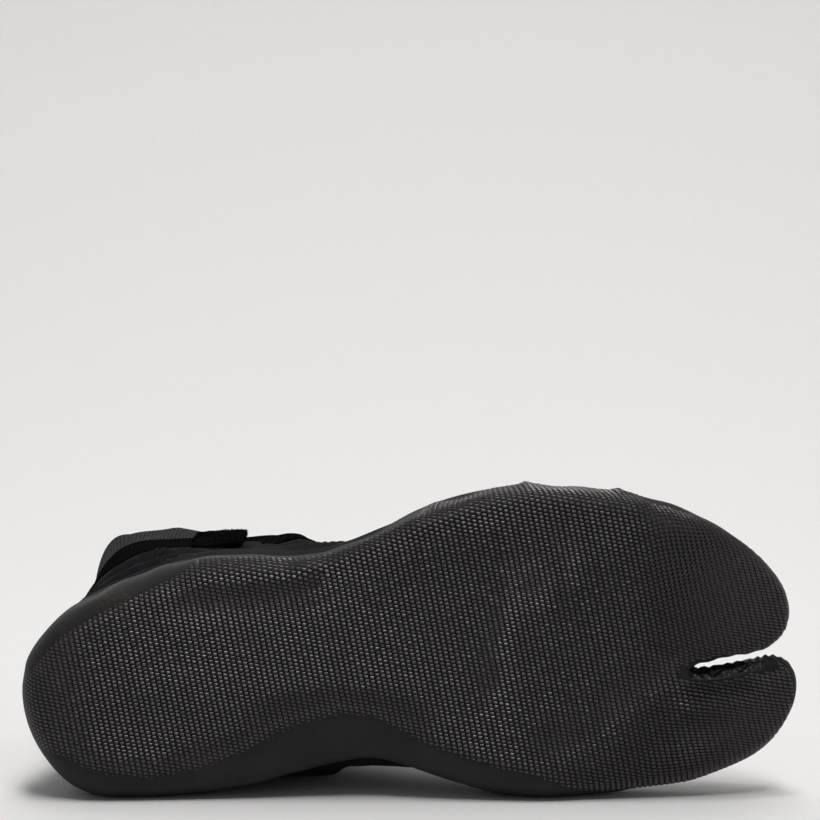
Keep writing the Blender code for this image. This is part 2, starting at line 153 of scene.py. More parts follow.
lens = bpy.data.cameras.new("studio_camera")
lens.lens = LENS
lens.sensor_width = 36.0
lens.clip_start = 0.01
camera = put("studio_camera", lens)
camera.location = (0.0, cad_low.y - CAMERA_TO_SOLE, CAMERA_HEIGHT)
camera.rotation_euler = (math.pi / 2 - LOOK_DOWN, 0.0, 0.0)
bpy.context.scene.camera = camera
print("camera", [round(v, 3) for v in camera.location], "lens", LENS, "mm")

# %% Nodes and colours


def wire(node, inputs):
    """Fills a node's inputs: a node or one of its outputs is linked, and any other value is set."""
    for name, value in inputs.items():
        if isinstance(value, bpy.types.Node):
            value = value.outputs[0]
        if isinstance(value, bpy.types.NodeSocket):
            node.id_data.links.new(value, node.inputs[name])
        else:
            node.inputs[name].default_value = value


def add(tree, kind, inputs=None, **settings):
    """Adds one node, with its settings, and fills its inputs."""
    made = tree.nodes.new(kind)
    for name, value in settings.items():
        setattr(made, name, value)
    wire(made, inputs or {})
    return made


def colour(code):
    """A colour written as an sRGB hex code, in the linear numbers that shaders use."""
    parts = [int(code[i : i + 2], 16) / 255 for i in (1, 3, 5)]
    return (*[c / 12.92 if c <= 0.04045 else ((c + 0.055) / 1.055) ** 2.4 for c in parts], 1.0)


def material_named(name, base, roughness, **sockets):
    """A material with one surface shader, whose plain values are set on its own sockets."""
    material = bpy.data.materials.new(name)
    material.use_nodes = True
    shader = material.node_tree.nodes["Principled BSDF"]
    wire(shader, {"Base Color": colour(base), "Roughness": roughness})
    wire(shader, {socket.replace("_", " "): value for socket, value in sockets.items()})
    return material, material.node_tree, shader


print("the grey #808080 is", round(colour("#808080")[0], 3), "of white in a shader")

# %% Paper roll and lights
ROLL_HALF_WIDTH = 6.0
ROLL_FRONT = -2.0
ROLL_BEND_START = 0.35
ROLL_BEND_RADIUS = 0.6
ROLL_TOP = 3.0
ROLL_STEPS = 24

profile = [(ROLL_FRONT, 0.0)]
for step in range(ROLL_STEPS + 1):
    turn = step / ROLL_STEPS * math.pi / 2
    back = ROLL_BEND_START + ROLL_BEND_RADIUS * math.sin(turn)
    profile.append((back, ROLL_BEND_RADIUS * (1 - math.cos(turn))))
profile.append((ROLL_BEND_START + ROLL_BEND_RADIUS, ROLL_TOP))
corners = [(side * ROLL_HALF_WIDTH, y, z) for y, z in profile for side in (-1, 1)]
strips = [(i, i + 1, i + 3, i + 2) for i in range(0, len(corners) - 2, 2)]
paper = bpy.data.meshes.new("paper_roll")
paper.from_pydata(corners, [], strips)
paper.shade_smooth()
paper_roll = put("paper_roll", paper)
white_paper, _, _ = material_named("white_paper", "#ECEBEA", 0.9, Specular_IOR_Level=0.1)
paper.materials.append(white_paper)


def soft_box(name, place, aim, size, power):
    """A square area light that points at a place."""
    lamp = bpy.data.lights.new(name, "AREA")
    lamp.size = size
    lamp.energy = power
    thing = put(name, lamp)
    thing.location = place
    direction = Vector(aim) - Vector(place)
    thing.rotation_euler = direction.to_track_quat("-Z", "Y").to_euler()


soft_box("overhead_box", (0.0, -0.3, 3.0), (0.0, 0.0, 0.05), 0.6, 23.5)
soft_box("front_box", (0.3, -1.1, 2.85), (0.0, 0.0, 0.05), 0.7, 25.0)
soft_box("backdrop_box", (0.0, 0.3, 2.4), (0.0, 1.0, 0.3), 0.8, 11.0)
room = bpy.data.worlds.new("dim_room")
room.use_nodes = True
wire(room.node_tree.nodes["Background"], {"Color": colour("#F4F4F6"), "Strength": 0.2})
bpy.context.scene.world = room
bpy.context.scene.view_settings.view_transform = "Standard"
print("paper roll of", len(strips), "strips, three soft boxes and a dim room")

# %% [markdown]
# ## Smooth copies of the solids
#
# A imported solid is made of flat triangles. Its copy is merged at its corners, its triangles are
# paired back into four-sided faces, and two rounds of subdivision make it smooth. Edges where the
# surface turns sharply, such as the cut edge of the rubber, are creased first, so that they stay.
# Each stretch of surface between such edges is a sheet: the largest one is the outside, the next
# one is the inside, and what is left is the cut edge.

# %% Copying a solid
SHARP_TURN = math.radians(50)


def number_sheets(work):
    """Numbers the faces of a shell from 1, a number for each sheet, and returns them by size."""
    number = work.faces.layers.int.new("sheet")
    areas = {}
    for seed in work.faces:
        if seed[number]:
            continue
        mark = len(areas) + 1
        areas[mark] = 0.0
        seed[number] = mark
        waiting = [seed]
        while waiting:
            face = waiting.pop()
            areas[mark] += face.calc_area()
            for edge in face.edges:
                if edge.calc_face_angle(0.0) > SHARP_TURN:
                    continue
                for other in edge.link_faces:
                    if not other[number]:
                        other[number] = mark
                        waiting.append(other)
    return sorted(areas, key=areas.get, reverse=True)


def smooth_copy(node, levels, crease):
    """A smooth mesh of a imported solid, its points on the outer sheet, and those on its cut edge."""
    work = bmesh.new()
    work.from_mesh(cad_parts[node].data)
    bmesh.ops.remove_doubles(work, verts=work.verts, dist=1e-6)
    bmesh.ops.join_triangles(
        work, faces=work.faces, angle_face_threshold=SHARP_TURN, angle_shape_threshold=math.pi
    )
    sheets = number_sheets(work)
    creases = work.edges.layers.float.new("crease_edge")
    for edge in work.edges:
        edge[creases] = crease if edge.calc_face_angle(0.0) > SHARP_TURN else 0.0
    base = bpy.data.meshes.new(node + "_base")
    work.to_mesh(base)
    work.free()
    thing = put(node + "_base", base)
    rounds = thing.modifiers.new("rounds", "SUBSURF")
    rounds.levels = rounds.render_levels = levels
    depsgraph = bpy.context.evaluated_depsgraph_get()
    mesh = bpy.data.meshes.new_from_object(thing.evaluated_get(depsgraph))
    bpy.data.objects.remove(thing)
    bpy.data.meshes.remove(base)
    sheet = np.zeros(len(mesh.polygons), np.int32)
    mesh.attributes["sheet"].data.foreach_get("value", sheet)
    outside = np.ones(len(mesh.vertices), bool)
    cut = np.zeros(len(mesh.vertices), bool)
    for polygon, mark in zip(mesh.polygons, sheet):
        if mark != sheets[0]:
            outside[list(polygon.vertices)] = False
        if mark not in sheets[:2]:
            cut[list(polygon.vertices)] = True
    mesh.materials.clear()
    print(node, "copied:", len(mesh.polygons), "faces,", int(outside.sum()), "points outside")
    return mesh, outside, cut


def points_of(mesh):
    points = np.zeros(len(mesh.vertices) * 3, np.float32)
    mesh.vertices.foreach_get("co", points)
    return points.reshape(-1, 3).astype(float)


def normals_of(mesh):
    normals = np.zeros(len(mesh.vertices) * 3, np.float32)
    mesh.vertex_normals.foreach_get("vector", normals)
    return normals.reshape(-1, 3).astype(float)


def move_points(mesh, shift):
    """Moves every point by millimetres along the boot's own directions, but none into the floor."""
    points = points_of(mesh) + turn_to_scene(shift) * MM
    points[:, 2] = np.maximum(points[:, 2], 0.0)
    mesh.vertices.foreach_set("co", points.astype(np.float32).ravel())
    mesh.update()


def store(mesh, name, values):
    """Keeps a number or a direction for each point, which materials and node trees read by its name."""
    values = np.asarray(values, np.float32)
    kind, field = ("FLOAT", "value") if values.ndim == 1 else ("FLOAT_VECTOR", "vector")
    mesh.attributes.new(name, kind, "POINT").data.foreach_set(field, values.ravel())


def finished(name, mesh, slot, *nodes, smooth=True):
    """Puts a mesh into the scene as a piece of the boot, in place of the solids that it dresses."""
    mesh.name = name
    if smooth:
        mesh.shade_smooth()
    thing = put(name, mesh)
    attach(thing, "root")
    if nodes:
        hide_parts(*nodes)
    return thing


# %% [markdown]
# ## The rubber sole
#
# The sole is one sheet of black rubber, moulded with a fine raised tread and then glued to the
# boot while soft, so that it is cupped up the sides. It isn't flat: the foot has left shallow
# creases across the ball, the outer edge of the forefoot is pinched, and the cut edge is wavy.
# Those are drawn as lines on the sole, and each one pushes the nearby surface in or out.

# %% Lines drawn on the sole
TOE_SPRING_X = (0, 226, 246, 266, 278, 287)
TOE_SPRING_Z = (0.0, 0.5, 1.8, 4.6, 7.0, 9.5)

# Each line: how far it pushes out (a trough is negative), its half-width, and its places (x, y)
SOLE_LINES = {
    "pinched outer edge": (
        1.1,
        3.0,
        [(146, -53), (168, -60.5), (187, -63.5), (208, -62.5), (227, -59.5)],
    ),
    "fold outside the ball": (-0.8, 3.6, [(201, -43), (187, -33), (177, -22), (172, -8), (173, 6)]),
    "roll beside that fold": (0.3, 5.0, [(206, -38), (194, -28), (185, -18), (180, -6)]),
    "fold to the split": (-1.2, 6.0, [(243, -4), (230, 3), (220, 10), (209, 18), (197, 27)]),
    "first pucker at the split": (-0.7, 2.0, [(232, -10), (238, -6), (244, -3)]),
    "second pucker at the split": (-0.6, 2.0, [(230, 4), (237, 1), (244, -1)]),
    "lip under the split": (1.3, 4.0, [(245, 11), (256, 10), (268, 9)]),
    "lit ridge at the waist": (1.0, 5.0, [(66, -37), (82, -35.5), (95, -35), (106, -36.5)]),
    "hollow under the waist": (-0.9, 6.0, [(60, -26), (84, -26), (108, -28)]),
    "ridge from the waist": (0.9, 3.4, [(104, -37), (116, -41), (130, -47), (144, -53)]),
    "arch hollow": (-1.0, 10.0, [(96, 22), (118, 18), (140, 22)]),
    "pinched inner edge": (0.6, 2.5, [(140, 29), (169, 35), (192, 40), (203, 43)]),
    "dent at the heel": (-0.6, 5.0, [(58, 33), (72, 31), (84, 29)]),
}


def sole_height(boot):
    """How far above the tread each place lies, with the toes' spring taken off."""
    return np.maximum(boot[:, 2] - np.interp(boot[:, 0], TOE_SPRING_X, TOE_SPRING_Z), 0.0)


def press_lines(boot, lines):
    """The push of every drawn line, in millimetres, at each place on the sole."""
    push = np.zeros(len(boot))
    for height, width, line in lines.values():
        push += height * hill(away(boot[:, :2], line), width)
    return push


print(len(SOLE_LINES), "lines drawn on the sole")

# %% How the sole falls away
# Beyond the fold to the split, the pad of the big toe falls away towards the floor, and along the
# outer side of the forefoot the sole falls away too
PAD_EDGE_X = (185, 197, 220, 243, 262)
PAD_EDGE_Y = (40, 28, 12, -3, -3)
PAD_FALL = 4.0
OUTER_FALL = 2.2


def sole_fall(boot):
    """How far places under the foot lie above the level of the tread, in millimetres."""
    x, y = boot[:, 0], boot[:, 1]
    beyond = y - np.interp(x, PAD_EDGE_X, PAD_EDGE_Y)
    pad = PAD_FALL * ease(beyond, -2, 48) * ease(x, 188, 206) * (1 - ease(x, 250, 284))
    outer = OUTER_FALL * ease(-y, 36, 62) * ease(x, 138, 170) * (1 - ease(x, 226, 262))
    return (pad + outer) * (1 - ease(sole_height(boot), 6, 16))


print("the pad falls by", PAD_FALL, "mm, the outer side by", OUTER_FALL, "mm")

# %% The split between the toes
# The split's middle line, how far each toe swells into it, how far the big toe stands out on its
# other side, and how rough the cement on it is
SPLIT_X = (243, 256, 268, 276, 286)
SPLIT_Y = (-0.5, -1.9, -4.5, -5.6, -6.0)
BIG_TOE_SWELL = 2.6
SMALL_TOES_SWELL = 1.6
BIG_TOE_SPREAD = 3.3
CEMENT_ROUGH = 0.7


def past_split(boot):
    """How far each place lies from the split's middle line, on the big toe's side if above nought."""
    return boot[:, 1] - np.interp(boot[:, 0], SPLIT_X, SPLIT_Y)


def big_toe_spread(boot):
    """How far the big toe's inner side stands out along y, in millimetres."""
    return BIG_TOE_SPREAD * ease(boot[:, 0], 220, 256) * ease(past_split(boot), 2, 18)


def split_swell(boot):
    """How far each place moves along y where the two toes press towards each other."""
    x, _, z = boot.T
    across = past_split(boot)
    near = hill(across, 7) * ease(x, 241, 247)
    height = sole_height(boot)
    cement_and_shade = CEMENT_ROUGH * np.sin(1.7 * x + 0.9 * z) * np.sin(1.2 * z - 0.5 * x) * ease(height, 1, 3)
    chamfer = 1.2 * hill(x - 258, 9) * (1 - ease(height, 0.5, 5))
    big_toe = cement_and_shade - BIG_TOE_SWELL * ease(height, 1.5, 8) + chamfer
    small_toes = SMALL_TOES_SWELL * (0.55 + 1.7 * ease(x, 258, 278)) + 0.25 * np.sin(0.9 * x)
    return np.where(across > 0, big_toe, small_toes) * near


def cement_and_shade_cover(boot, facing):
    """One where cement has dried on the big toe's wall of the split, which is also painted darker there
    as the hollow's shade, nought elsewhere.
    """
    across = past_split(boot)
    along = ease(boot[:, 0], 243, 248) * (1 - ease(boot[:, 0], 270, 277))
    on_wall = ease(sole_height(boot), 0.8, 2.2) * (1 - ease(np.abs(facing[:, 2]), 0.6, 0.85))
    return along * on_wall * (across > 0) * (1 - ease(across, 5, 8))


print("the split runs from", SPLIT_X[0], "to", SPLIT_X[-1], "mm")

# %% The cut edge and the heel
# Where the rubber's cut edge has been left with a nub by the knife
EDGE_NUBS = (151.5, 186.5, 220.0)


def edge_waves(boot, facing):
    """The cut edge isn't even: it waves in and out along the sides, and has a few nubs."""
    x, y = boot[:, 0], boot[:, 1]
    on_side = ease(sole_height(boot), 5, 14) * (1 - np.abs(facing[:, 2]))
    waves = 0.35 * np.sin(x / 5.5) + 0.25 * np.sin(x / 2.7 + 1.0) + 0.2 * np.sin(x / 9.0 + 2.0)
    nubs = sum(hill(x - nub, 1.4) for nub in EDGE_NUBS)
    full = 1.3 * hill(x - 234, 15) - 0.8 * hill(x - 160, 14)
    return on_side * (waves + (0.9 * nubs + full) * (y < 0))


def heel_round(boot, facing):
    """The back of the heel is fuller at its two corners, and flatter between them."""
    x, y = boot[:, 0], boot[:, 1]
    full = 1.0 * hill(y - 18, 16) - 1.2 * hill(y + 1, 6)
    full += 0.6 * hill(y + 17, 7)
    return full * (1 - ease(x, 6, 32)) * ease(-facing[:, 0], 0.1, 0.5)


print(len(EDGE_NUBS), "nubs on the cut edge")

# %% Pressing the sole
sole, sole_outside, sole_cut = smooth_copy("outsole", 2, 0.7)
plain_boot = to_boot(points_of(sole))
plain_facing = turn_to_boot(normals_of(sole))
low = 1 - ease(sole_height(plain_boot), 6, 16)
push = press_lines(plain_boot, SOLE_LINES) * low + edge_waves(plain_boot, plain_facing)
push = np.where(sole_outside, push, 0.0) + heel_round(plain_boot, plain_facing)
shift = plain_facing * push[:, None]
shift[:, 1] += split_swell(plain_boot) + big_toe_spread(plain_boot)
shift[:, 2] += sole_fall(plain_boot)
move_points(sole, shift)
print("sole pressed in by", round(-push.min(), 2), "mm and out by", round(push.max(), 2), "mm")

# %% [markdown]
# ## Where the tread shows
#
# The bumps don't cover the whole sole. A smooth band runs round the outer side of the heel, the
# big-toe side is smooth from the heel through the arch to the ball, and so is the wall of the
# split. One number for each point of the sole says how deep the tread is there, from nought on
# the smooth margins to one. Two lines drawn on the sole mark where it stops. The sheet is laid out
# flat as it was before the foot creased it, so that the rows stay even.

# %% Tread depth
# Places (x, y) where the tread ends, and the width over which it fades away
INNER_MARGIN_X = (-10, 16, 30, 49, 67, 85, 103, 118, 130, 145, 169, 192, 203, 214, 225, 236, 246, 300)
INNER_MARGIN_Y = (34, 29, 34, 36, 33, 26.5, 19, 15, 16, 24, 32, 37.5, 42, 45.5, 51, 58, 65, 60)
INNER_MARGIN_FADE = (16, 16, 16, 16, 15, 14, 13, 12, 10, 7, 6, 6, 7, 9, 12, 14, 16, 14)
HEEL_BAND = [(2, -3), (7.6, -8), (15.9, -15.5), (25.6, -21), (42.2, -29.5), (53.7, -35), (66, -42)]
HEEL_BAND_END = 66.0
SPLIT_WALL = [(244, 0.5), (258, -1.6), (274, -2.5)]
SPLIT_MARGIN = 2.2
EDGE_MARGIN = 3.2
TOE_WALL = 7.0
BOLD_CLUSTER = [(248, 7), (266, 5)]
ROWS_CLOSER = 0.3
SHEET_CORNER = 6.0
DEEP_FOLD = -0.7


def tread_depth(unrolled):
    """Nought where the rubber is smooth, one where the tread is full."""
    x, y = unrolled[:, 0], unrolled[:, 1]
    margin = np.interp(x, INNER_MARGIN_X, INNER_MARGIN_Y)
    fade = np.interp(x, INNER_MARGIN_X, INNER_MARGIN_FADE)
    depth = 1 - ease(y, margin - fade / 2, margin + fade / 2)
    band_y = np.interp(x, [p[0] for p in HEEL_BAND], [p[1] for p in HEEL_BAND])
    on_band = (1 - ease(y, band_y, band_y + 5)) * (1 - ease(x, HEEL_BAND_END - 3, HEEL_BAND_END))
    depth *= 1 - on_band
    # It is shallower behind the heel and on the toes, and bolder in one cluster beside the split
    depth *= 0.35 + 0.65 * ease(x, 2, 34)
    depth *= 1 - 0.3 * ease(x, 238, 264) - 0.1 * ease(x, 238, 256) * ease(y, 8, 18)
    depth *= 1 + 0.6 * hill(away(unrolled, BOLD_CLUSTER), 3)
    # It stops before the split, and is pressed flatter in the deeper folds
    depth *= ease(away(unrolled, SPLIT_WALL), SPLIT_MARGIN, SPLIT_MARGIN + 1.5)
    for height, width, line in SOLE_LINES.values():
        if height < DEEP_FOLD:
            depth *= 1 - 0.45 * hill(away(unrolled, line), width)
    return depth


def unroll(boot, facing):
    """Lays the cupped sheet out flat: a place on the sides goes outwards by its way up them."""
    height = sole_height(boot)
    way_up = height**2 / (height + SHEET_CORNER)
    flat = boot[:, :2] + facing[:, :2] * way_up[:, None]
    flat[:, 1] *= 1 + ROWS_CLOSER * ease(boot[:, 0], 228, 262)
    return flat


print("tread ends", EDGE_MARGIN, "mm from the cut edge")

# %% Storing the tread's depth
# How far each place is from the sheet's cut edge, because the tread stops short of it
edge_points = np.flatnonzero(sole_cut)
finder = kdtree.KDTree(len(edge_points))
places = points_of(sole)
for number in edge_points:
    finder.insert(places[number], int(number))
finder.balance()
from_edge = np.array([finder.find(place)[2] for place in places]) / MM

unrolled = unroll(plain_boot, plain_facing)
height = sole_height(plain_boot)
x, y, _ = plain_boot.T
at_waist = ease(x, 100, 108) * (1 - ease(x, 142, 152)) * (y < 0)
depth = tread_depth(unrolled) * (1 - 0.25 * ease(height, 4, 10))
depth *= 1 - at_waist * ease(height, 4.5, 7.5)
# Round the toes it stops at an even height
depth *= 1 - ease(x, 218, 238) * ease(height, TOE_WALL, TOE_WALL + 2)
depth = np.where(sole_outside, depth * ease(from_edge, EDGE_MARGIN, EDGE_MARGIN + 2), 0.0)
store(sole, "tread_depth", depth)
# Over the toes and round the heel the rows close up into fine lines
store(sole, "fine", np.maximum(ease(x, 232, 256), 1 - ease(x, 4, 22)))
print("tread covers", round(100 * float((depth[sole_outside] > 0.5).mean())), "% of the sole's outside")

# %% [markdown]
# ## Sole rubber
#
# Black natural rubber, moulded against a blasted steel plate. Fresh rubber is nearly black and
# half matt. Handling leaves a dull bloom in soft patches, and the tips of the tread, where it is
# rubbed, are smoother than the sheet between them. The sheet is painted darker between the bumps,
# a painted shade, so the tips look a little paler. The lip along the cut edge is painted greyer, a
# painted highlight of the light along that edge. The heel is scuffed, and in the split some of the
# glue, which shoemakers call cement, has dried in shiny lumps; the wall under it is painted nearly
# black, a painted shade of the hollow. Each of these has its own stored number.

# %% Where the rubber is painted paler at the lip, scuffed and cemented
# How far from the cut edge the lip is painted paler, a painted highlight, mm
LIP_HIGHLIGHT = 3.0
# Places (x, y) of the scuffs, and how far each one spreads
SCUFFS = ((35, -28, 9), (19, -16, 6), (7, -5, 7), (70, 34, 8), (256, -46, 7), (236, -54, 6))

# Where the lip is painted paler, a painted highlight along the cut edge
store(sole, "lip", 1 - ease(from_edge, 0.4, LIP_HIGHLIGHT))
flat_x, flat_y = unrolled.T
scuffed = sum(hill(np.hypot(flat_x - x, flat_y - y), spread) for x, y, spread in SCUFFS)
store(sole, "scuff", np.minimum(scuffed, 1.0))
# Where the cement lies, and where the split's wall is painted darker as the hollow's shade
store(sole, "cement_and_shade", cement_and_shade_cover(plain_boot, plain_facing))
print("lip of", LIP_HIGHLIGHT, "mm,", len(SCUFFS), "scuffs")

# %% Patches, tints and lumps
RUBBER_BLOOM = 22.0  # size of the dull patches, mm
RUBBER_GRAIN = 0.7  # the real grain is finer, but would not show
SCUFF_GRAIN = 1.6
SCUFF_DEPTH = 0.5
CEMENT_LUMP = 2.4
CEMENT_DEPTH = 2.0
PATCH_LIMITS = (0.35, 0.7)


def patchy(tree, place, size, detail, dark, pale):
    """Two shades in soft patches of a size in millimetres. Returns the pattern of the patches."""
    noise = {"Vector": place, "Scale": 1 / (size * MM), "Detail": detail}
    patches = add(tree, "ShaderNodeTexNoise", noise)
    ramp = add(tree, "ShaderNodeValToRGB", {"Fac": patches})
    for stop, position, code in zip(ramp.color_ramp.elements, PATCH_LIMITS, (dark, pale)):
        stop.position = position
        stop.color = colour(code)
    wire(tree.nodes["Principled BSDF"], {"Base Color": ramp})
    return patches


def tint(tree, where, other):
    """Mixes another colour into the base colour, as far as a number says."""
    shader = tree.nodes["Principled BSDF"]
    before = shader.inputs["Base Color"].links[0].from_socket
    mixed = add(tree, "ShaderNodeMix", {"Factor": where, 6: before, 7: other}, data_type="RGBA")
    wire(shader, {"Base Color": mixed.outputs[2]})


def roughen(tree, where, size, depth):
    """Adds lumps of a size and depth in millimetres to the surface, as far as a number says."""
    shader = tree.nodes["Principled BSDF"]
    before = shader.inputs["Normal"].links[0].from_socket
    place = add(tree, "ShaderNodeTexCoord").outputs["Object"]
    lumps = add(tree, "ShaderNodeTexNoise", {"Vector": place, "Scale": 1 / (size * MM), "Detail": 2.0})
    height = add(tree, "ShaderNodeMath", {0: lumps, 1: where}, operation="MULTIPLY")
    bump = add(tree, "ShaderNodeBump", {"Height": height, "Distance": depth * MM, "Normal": before})
    wire(shader, {"Normal": bump})
    return lumps


def rubber(name, dark, pale, roughness, gloss, grain_depth):
    """Rubber with dull patches and a fine grain."""
    material, tree, shader = material_named(name, dark, roughness, Specular_IOR_Level=gloss)
    place = add(tree, "ShaderNodeTexCoord").outputs["Object"]
    bloom = patchy(tree, place, RUBBER_BLOOM, 5.0, dark, pale)
    limits = {"From Min": 0.3, "From Max": 0.75, "To Min": roughness - 0.07, "To Max": roughness + 0.1}
    dull = add(tree, "ShaderNodeMapRange", {"Value": bloom, **limits})
    grain = {"Vector": place, "Scale": 1 / (RUBBER_GRAIN * MM), "Detail": 3.0}
    grain = add(tree, "ShaderNodeTexNoise", grain)
    bump = add(tree, "ShaderNodeBump", {"Height": grain, "Distance": grain_depth * MM, "Strength": 0.6})
    wire(shader, {"Roughness": dull, "Normal": bump})
    return material


def add_cement_and_shade(material):
    """Dried cement: a clear coat over lumps, which gives small sharp glints, on a wall painted nearly
    black as the hollow's painted shade.
    """
    tree = material.node_tree
    where = add(tree, "ShaderNodeAttribute", attribute_name="cement_and_shade").outputs["Fac"]
    # Painted shade: the split's wall is painted nearly black under the cement
    tint(tree, where, colour("#0B0A09"))
    roughen(tree, where, CEMENT_LUMP, CEMENT_DEPTH)
    shader = tree.nodes["Principled BSDF"]
    lumpy = shader.inputs["Normal"].links[0].from_socket
    wire(shader, {"Coat Normal": lumpy, "Coat Weight": where, "Coat Roughness": 0.14})


print("rubber is patched at", RUBBER_BLOOM, "mm and grained at", RUBBER_GRAIN, "mm")

# %% The sheet's rubber
# How strongly the stored numbers tint the sheet: it is painted darker between the bumps, a painted
# shade, and painted greyer at the lip, a painted highlight along the cut edge
SHEET_PAINTED_LIGHT = (("tread_depth", 1.8, "#181617"), ("lip", 0.55, "#393735"))

# The sheet is half matt with a fine grain, so it shows soft grey shapes and no glints
sheet_rubber = rubber("moulded_rubber_sheet", "#211F20", "#2A2829", 0.58, 0.18, 0.10)
sheet_tree = sheet_rubber.node_tree
for number, strength, code in SHEET_PAINTED_LIGHT:
    value = add(sheet_tree, "ShaderNodeAttribute", attribute_name=number).outputs["Fac"]
    inputs = {0: value, 1: strength}
    where = add(sheet_tree, "ShaderNodeMath", inputs, operation="MULTIPLY", use_clamp=True)
    tint(sheet_tree, where, colour(code))
scuff = add(sheet_tree, "ShaderNodeAttribute", attribute_name="scuff").outputs["Fac"]
speckle = roughen(sheet_tree, scuff, SCUFF_GRAIN, SCUFF_DEPTH)
speckled = add(sheet_tree, "ShaderNodeMath", {0: scuff, 1: speckle}, operation="MULTIPLY")
tint(sheet_tree, speckled, colour("#2F2E2A"))
add_cement_and_shade(sheet_rubber)
print(sheet_rubber.name, "with", len(sheet_tree.nodes), "nodes")

# %% The tips' rubber
# Where along the boot, in metres, the tips are painted darker, a painted shade towards the toes and the
# heel, and how much rougher they are there
SHADE_AT_TOES = {"From Min": 0.075, "From Max": 0.108, "To Min": 0.0, "To Max": 1.0}
SHADE_AT_HEEL = {"From Min": -0.13, "From Max": -0.07, "To Min": 0.7, "To Max": 0.0}
ROUGHER_AT_ENDS = 0.03

# The tips are rubbed smooth and have a faint coat, so each one glints, a touch warm, where it meets
# the light
tip_rubber = rubber("rubbed_tread_tips", "#1B191A", "#252324", 0.37, 0.88, 0.02)
tip_tree = tip_rubber.node_tree
tip_shader = tip_tree.nodes["Principled BSDF"]
wire(tip_shader, {"Coat Weight": 0.15, "Coat Roughness": 0.33, "Specular Tint": (1.0, 0.93, 0.94, 1.0)})
# Towards the toes and the heel they are painted blacker, a painted shade where the sole turns from the
# light, and are a little rougher, so they glint less
tip_x = add(tip_tree, "ShaderNodeTexCoord").outputs["Object"]
tip_x = add(tip_tree, "ShaderNodeSeparateXYZ", {0: tip_x})
at_toes = add(tip_tree, "ShaderNodeMapRange", {"Value": tip_x, **SHADE_AT_TOES})
at_heel = add(tip_tree, "ShaderNodeMapRange", {"Value": tip_x, **SHADE_AT_HEEL})
shaded_ends = add(tip_tree, "ShaderNodeMath", {0: at_toes, 1: at_heel}, operation="ADD")
tint(tip_tree, shaded_ends, colour("#100E0F"))
rubbed = tip_shader.inputs["Roughness"].links[0].from_socket
rougher = {0: shaded_ends, 1: ROUGHER_AT_ENDS, 2: rubbed}
wire(tip_shader, {"Roughness": add(tip_tree, "ShaderNodeMath", rougher, operation="MULTIPLY_ADD")})
sole.materials.append(sheet_rubber)
rubber_sole = finished("rubber_sole", sole, "sole_rubber", "outsole")
print("rubber on", rubber_sole.name)

# %% [markdown]
# ## The tread
#
# Thousands of low bumps stand in slanted rows, each like a little roof that catches the light on its
# upper slope and is dark below. Nobody would model them one by one, and a bump map would leave the
# outline of the toes smooth, where the real one is finely toothed. So a node tree lays a slanted
# lattice of points over the unrolled sheet, finds each point's place on the sole, and puts one bump
# there. Its inputs are the sizes of the lattice and of a bump. A bump has few faces, because there
# are so many. The tread is made in three lengths.

# %% One bump
BUMP_FOOT = ((-0.5, 0.0), (-0.33, -0.5), (0.33, -0.5), (0.5, 0.0), (0.33, 0.5), (-0.33, 0.5))
# Its rings from the foot to the crest, as shares of its length, width and height
BUMP_RINGS = ((1.0, 1.0, 0.0), (0.95, 0.86, 0.44), (0.86, 0.46, 0.84), (0.74, 0.12, 1.0))


def bump_object():
    """One bump of unit size: a low rounded roof with its crest along the row, on a six-sided foot."""
    points = [(x * long, y * wide, high) for long, wide, high in BUMP_RINGS for x, y in BUMP_FOOT]
    faces = [(5, 4, 3, 2, 1, 0), (18, 19, 20, 21, 22, 23)]
    for ring in (0, 6, 12):
        faces += [(ring + i, ring + (i + 1) % 6, ring + (i + 1) % 6 + 6, ring + i + 6) for i in range(6)]
    mesh = bpy.data.meshes.new("one_bump")
    mesh.from_pydata(points, [], faces)
    return bpy.data.objects.new("one_bump", mesh)


one_bump = bump_object()
print("a bump of", len(one_bump.data.polygons), "faces")

# %% The sheet that carries the tread


def tread_sheet():
    """A copy of the sole's outer sheet, without the walls of the split, with its unrolled map."""
    mesh = sole.copy()
    flat = mesh.uv_layers.new(name="unrolled")
    corner_points = np.zeros(len(mesh.loops), np.int32)
    mesh.loops.foreach_get("vertex_index", corner_points)
    flat.data.foreach_set("uv", (unrolled[corner_points] * MM).astype(np.float32).ravel())
    work = bmesh.new()
    work.from_mesh(mesh)
    work.verts.ensure_lookup_table()
    near_split = away(plain_boot[:, :2], SPLIT_WALL) < SPLIT_MARGIN + 2
    in_split = near_split & (np.abs(plain_facing[:, 2]) < 0.75)
    unused = [v for v in work.verts if not sole_outside[v.index] or in_split[v.index]]
    bmesh.ops.delete(work, geom=unused, context="VERTS")
    work.to_mesh(mesh)
    work.free()
    return mesh


carrier_sheet = tread_sheet()
print("tread is laid on", len(carrier_sheet.polygons), "faces")

# %% Helpers for node trees


def new_tree(name, **inputs):
    """A node tree from one mesh to another, with named inputs of each kind, and what it is given."""
    tree = bpy.data.node_groups.new(name, "GeometryNodeTree")
    for way in ("INPUT", "OUTPUT"):
        tree.interface.new_socket("Geometry", in_out=way, socket_type="NodeSocketGeometry")
    for kind, labels in inputs.items():
        for label in labels:
            tree.interface.new_socket(label, in_out="INPUT", socket_type="NodeSocket" + kind)
    return tree, add(tree, "NodeGroupInput").outputs


def leaning(tree, rotation, angles):
    """A rotation, turned further by three angles about its own axes."""
    inputs = {"Rotation": rotation, "Rotate By": add(tree, "FunctionNodeEulerToRotation", {0: angles})}
    return add(tree, "FunctionNodeRotateRotation", inputs, rotation_space="LOCAL")


